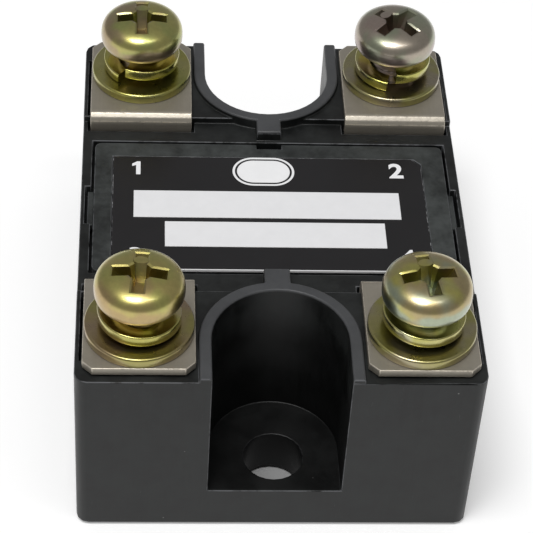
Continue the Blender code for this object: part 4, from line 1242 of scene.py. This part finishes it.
class RELAY_OT_nuts(bpy.types.Operator):
    """Build the four captive nuts under the terminals"""
    bl_idname = "relay.nuts"
    bl_label = "Captive nuts"

    def execute(self, context):
        chosen = settings(context, "fasteners")
        low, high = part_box("captive_nut_1")
        height = high.z - low.z
        flats = high.x - low.x
        corner = flats / math.sqrt(3.0)
        lead, chamfer, inset = 0.00025, 0.0004, 0.0001
        rows = 10
        points = [(BORE_RADIUS + lead, 0.0)]
        level = lead
        while level < height - lead:
            points.append((BORE_RADIUS, level))
            level += chosen.thread_pitch / rows
        points += [(BORE_RADIUS + lead, height), (flats / 2 - inset, height), (corner, height - chamfer),
                   (corner, chamfer), (flats / 2 - inset, 0.0), (BORE_RADIUS + lead, 0.0)]
        profile = profile_object("nut_profile", points)
        turned = turned_tree()
        steel = smooth_metal("nut_steel_plain", (0.56, 0.56, 0.57), (0.34, 0.33, 0.33), 0.26)
        for number in TERMINALS:
            x, y, bottom = middle_of("captive_nut_%d" % number)
            nut = {"Profile": profile, "Profile Points": len(points), "Steps Around": 72,
                   "Thread Radius": BORE_RADIUS, "Thread Pitch": chosen.thread_pitch, "Thread Depth": 0.00022,
                   "Across Flats": flats, "Place": (x, y, bottom), "Material": steel}
            name = "hexagon_nut_%d" % number
            settle(name, grown(name, [(turned, nut)]), "relay", ["captive_nut_%d" % number],
                   NUT_SMOOTH_DEG)
        discard(profile)
        return {"FINISHED"}


class RELAY_OT_power_stage(bpy.types.Operator):
    """Build the substrate, pads, chips, straps and gate pins inside the case"""
    bl_idname = "relay.power_stage"
    bl_label = "Power stage"

    def execute(self, context):
        ceramic = coated_body("substrate_ceramic", (0.80, 0.79, 0.74), 0.50, 0.00009)
        copper = smooth_metal("bare_copper", (0.76, 0.42, 0.27), (0.48, 0.24, 0.15), 0.28)
        silicon = smooth_metal("chip_silicon_grey", (0.32, 0.32, 0.36), (0.22, 0.22, 0.26), 0.16)
        softened_node("substrate_tile", "ceramic_substrate", ceramic, 0.00008)
        for side in ("left", "right"):
            softened_node("pad_" + side, "copper_pad_" + side, copper, 0.00006)
            softened_node("chip_" + side, "thyristor_chip_" + side, silicon, 0.00005)
            softened_node("strap_" + side, "cathode_strap_" + side, copper, 0.00008)
            softened_node("pin_" + side, "gate_pin_" + side, copper, 0.00008)
        return {"FINISHED"}


class RELAY_OT_control_stage(bpy.types.Operator):
    """Build the control board and the parts on it"""
    bl_idname = "relay.control_stage"
    bl_label = "Control board"

    def execute(self, context):
        board = circuit_board((0.045, 0.17, 0.075))
        epoxy = coated_body("epoxy_body_black", (0.022, 0.022, 0.024), 0.42)
        film = coated_body("capacitor_yellow", (0.72, 0.50, 0.08), 0.30)
        resistor = coated_body("resistor_coat_beige", (0.58, 0.47, 0.31), 0.34)
        varistor = coated_body("varistor_coat_blue", (0.06, 0.17, 0.42), 0.30)
        softened_node("board", "control_board", board, 0.00008)
        softened_node("optocoupler_body", "optocoupler", epoxy, 0.00012)
        softened_node("transistor_body", "input_transistor", epoxy, 0.00015)
        softened_node("capacitor_box", "snubber_capacitor", film, 0.0004)
        softened_node("snubber_resistor_body", "snubber_resistor", resistor, 0.00005)
        softened_node("input_resistor_body", "input_resistor", resistor, 0.00005)
        softened_node("varistor_disc", "surge_varistor", varistor, 0.0003)
        return {"FINISHED"}


def area_light(name, place, size, power):
    """A soft rectangular light that faces straight down."""
    lamp = bpy.data.lights.new(name, "AREA")
    lamp.shape = "RECTANGLE"
    lamp.size, lamp.size_y = size
    lamp.energy = power
    made = bpy.data.objects.new(name, lamp)
    made.location = place
    bpy.context.scene.collection.objects.link(made)


class RELAY_OT_stage(bpy.types.Operator):
    """Build the floor, the lights and the camera"""
    bl_idname = "relay.stage"
    bl_label = "Stage"

    def execute(self, context):
        chosen = settings(context, "stage")
        scene = context.scene
        half, level = 2.0, -0.00002
        under_share, under_shade, glow_level = 0.88, 0.36, 0.25
        mesh = bpy.data.meshes.new("pale_floor")
        corners = ((-half, -half), (half, -half), (half, half), (-half, half))
        mesh.from_pydata([(x, y, level) for x, y in corners], [], [(0, 1, 2, 3)])
        floor = new_object("pale_floor", mesh)
        material, tree, shader = start_material("floor_pale")
        give(tree, shader, roughness=0.9)
        rays = add_node(tree, "ShaderNodeLightPath").outputs
        seen = calc(tree, "MAXIMUM", calc(tree, "MAXIMUM", rays["Is Camera Ray"], rays["Is Glossy Ray"]),
                    rays["Is Transmission Ray"])
        spot = split(tree, object_point(tree))
        reach = calc(tree, "MAXIMUM", calc(tree, "DIVIDE", calc(tree, "ABSOLUTE", spot["X"]), CAD_BOX[1].x),
                     calc(tree, "DIVIDE", calc(tree, "ABSOLUTE", spot["Y"]), CAD_BOX[1].y))
        # Painted shadow: the floor under the relay's footprint is darker and has no glow, and shows only
        # through the mounting holes
        clear = ramp(tree, reach, under_share, 1.0)
        under = shade(chosen.floor_colour, under_shade)
        give(tree, shader, base_color=mix(tree, clear, under, chosen.floor_colour))
        seen = times(tree, seen, clear)
        glow = add_node(tree, "ShaderNodeEmission", {"Strength": times(tree, seen, glow_level)})
        both = add_node(tree, "ShaderNodeAddShader")
        fill(tree, both.inputs[0], shader.outputs[0])
        fill(tree, both.inputs[1], glow.outputs[0])
        fill(tree, tree.nodes["Material Output"].inputs["Surface"], both.outputs[0])
        mesh.materials.append(material)

        world = bpy.data.worlds.new("room")
        world.use_nodes = True
        room = world.node_tree.nodes["Background"]
        room.inputs["Color"].default_value = (1.0, 1.0, 1.0, 1.0)
        room.inputs["Strength"].default_value = chosen.world_level
        scene.world = world
        area_light("soft_overhead", (-0.15, -0.20, 0.90), (0.36, 0.30), chosen.main_power)
        area_light("soft_strip", (0.22, -0.19, 0.90), (0.28, 0.08), chosen.strip_power)

        turn, tilt, roll = chosen.azimuth, chosen.elevation, chosen.roll
        back = Vector((math.sin(turn) * math.cos(tilt), -math.cos(turn) * math.cos(tilt), math.sin(tilt)))
        right = Vector((math.cos(turn), math.sin(turn), 0.0))
        up = back.cross(right)
        across = math.cos(roll) * right + math.sin(roll) * up
        upright = -math.sin(roll) * right + math.cos(roll) * up
        camera = bpy.data.cameras.new("camera")
        camera.lens = chosen.lens
        camera.sensor_width = 36.0
        camera.sensor_fit = "HORIZONTAL"
        camera.clip_start = 0.01
        camera.clip_end = 20.0
        viewer = bpy.data.objects.new("camera", camera)
        matrix = Matrix((across, upright, back)).transposed().to_4x4()
        matrix.translation = Vector(chosen.target) + back * chosen.distance
        viewer.matrix_world = matrix
        scene.collection.objects.link(viewer)
        scene.camera = viewer
        scene.view_settings.view_transform = "Standard"
        return {"FINISHED"}


class RELAY_PT_panel(bpy.types.Panel):
    """Settings and operators of the relay"""
    bl_idname = "RELAY_PT_panel"
    bl_label = "Relay"
    bl_space_type = "VIEW_3D"
    bl_region_type = "UI"
    bl_category = "Relay"

    def draw(self, context):
        for title, group in GROUPS.items():
            box = self.layout.box()
            box.label(text=title.title())
            chosen = settings(context, title)
            for key in group.__annotations__:
                box.prop(chosen, key)
        column = self.layout.column()
        for operator in OPERATORS:
            column.operator(operator.bl_idname)


GROUPS = {
    "case": CaseSettings,
    "label": LabelSettings,
    "terminals": TerminalSettings,
    "fasteners": FastenerSettings,
    "stage": StageSettings,
}
OPERATORS = (
    RELAY_OT_case,
    RELAY_OT_base_plate,
    RELAY_OT_lid,
    RELAY_OT_label,
    RELAY_OT_terminals,
    RELAY_OT_screws,
    RELAY_OT_washers,
    RELAY_OT_nuts,
    RELAY_OT_power_stage,
    RELAY_OT_control_stage,
    RELAY_OT_stage,
)


def register():
    for group in GROUPS.values():
        bpy.utils.register_class(group)
    for operator in OPERATORS:
        bpy.utils.register_class(operator)
    bpy.utils.register_class(RELAY_PT_panel)
    for name, group in GROUPS.items():
        setattr(bpy.types.Scene, "relay_" + name, PointerProperty(type=group))


def unregister():
    for name in GROUPS:
        delattr(bpy.types.Scene, "relay_" + name)
    bpy.utils.unregister_class(RELAY_PT_panel)
    for operator in reversed(OPERATORS):
        bpy.utils.unregister_class(operator)
    for group in reversed(list(GROUPS.values())):
        bpy.utils.unregister_class(group)


def main():
    register()
    bpy.ops.relay.case()
    bpy.ops.relay.base_plate()
    bpy.ops.relay.lid()
    bpy.ops.relay.label()
    bpy.ops.relay.terminals()
    bpy.ops.relay.screws()
    bpy.ops.relay.washers()
    bpy.ops.relay.nuts()
    bpy.ops.relay.power_stage()
    bpy.ops.relay.control_stage()
    bpy.ops.relay.stage()
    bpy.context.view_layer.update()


if __name__ == "__main__":
    main()
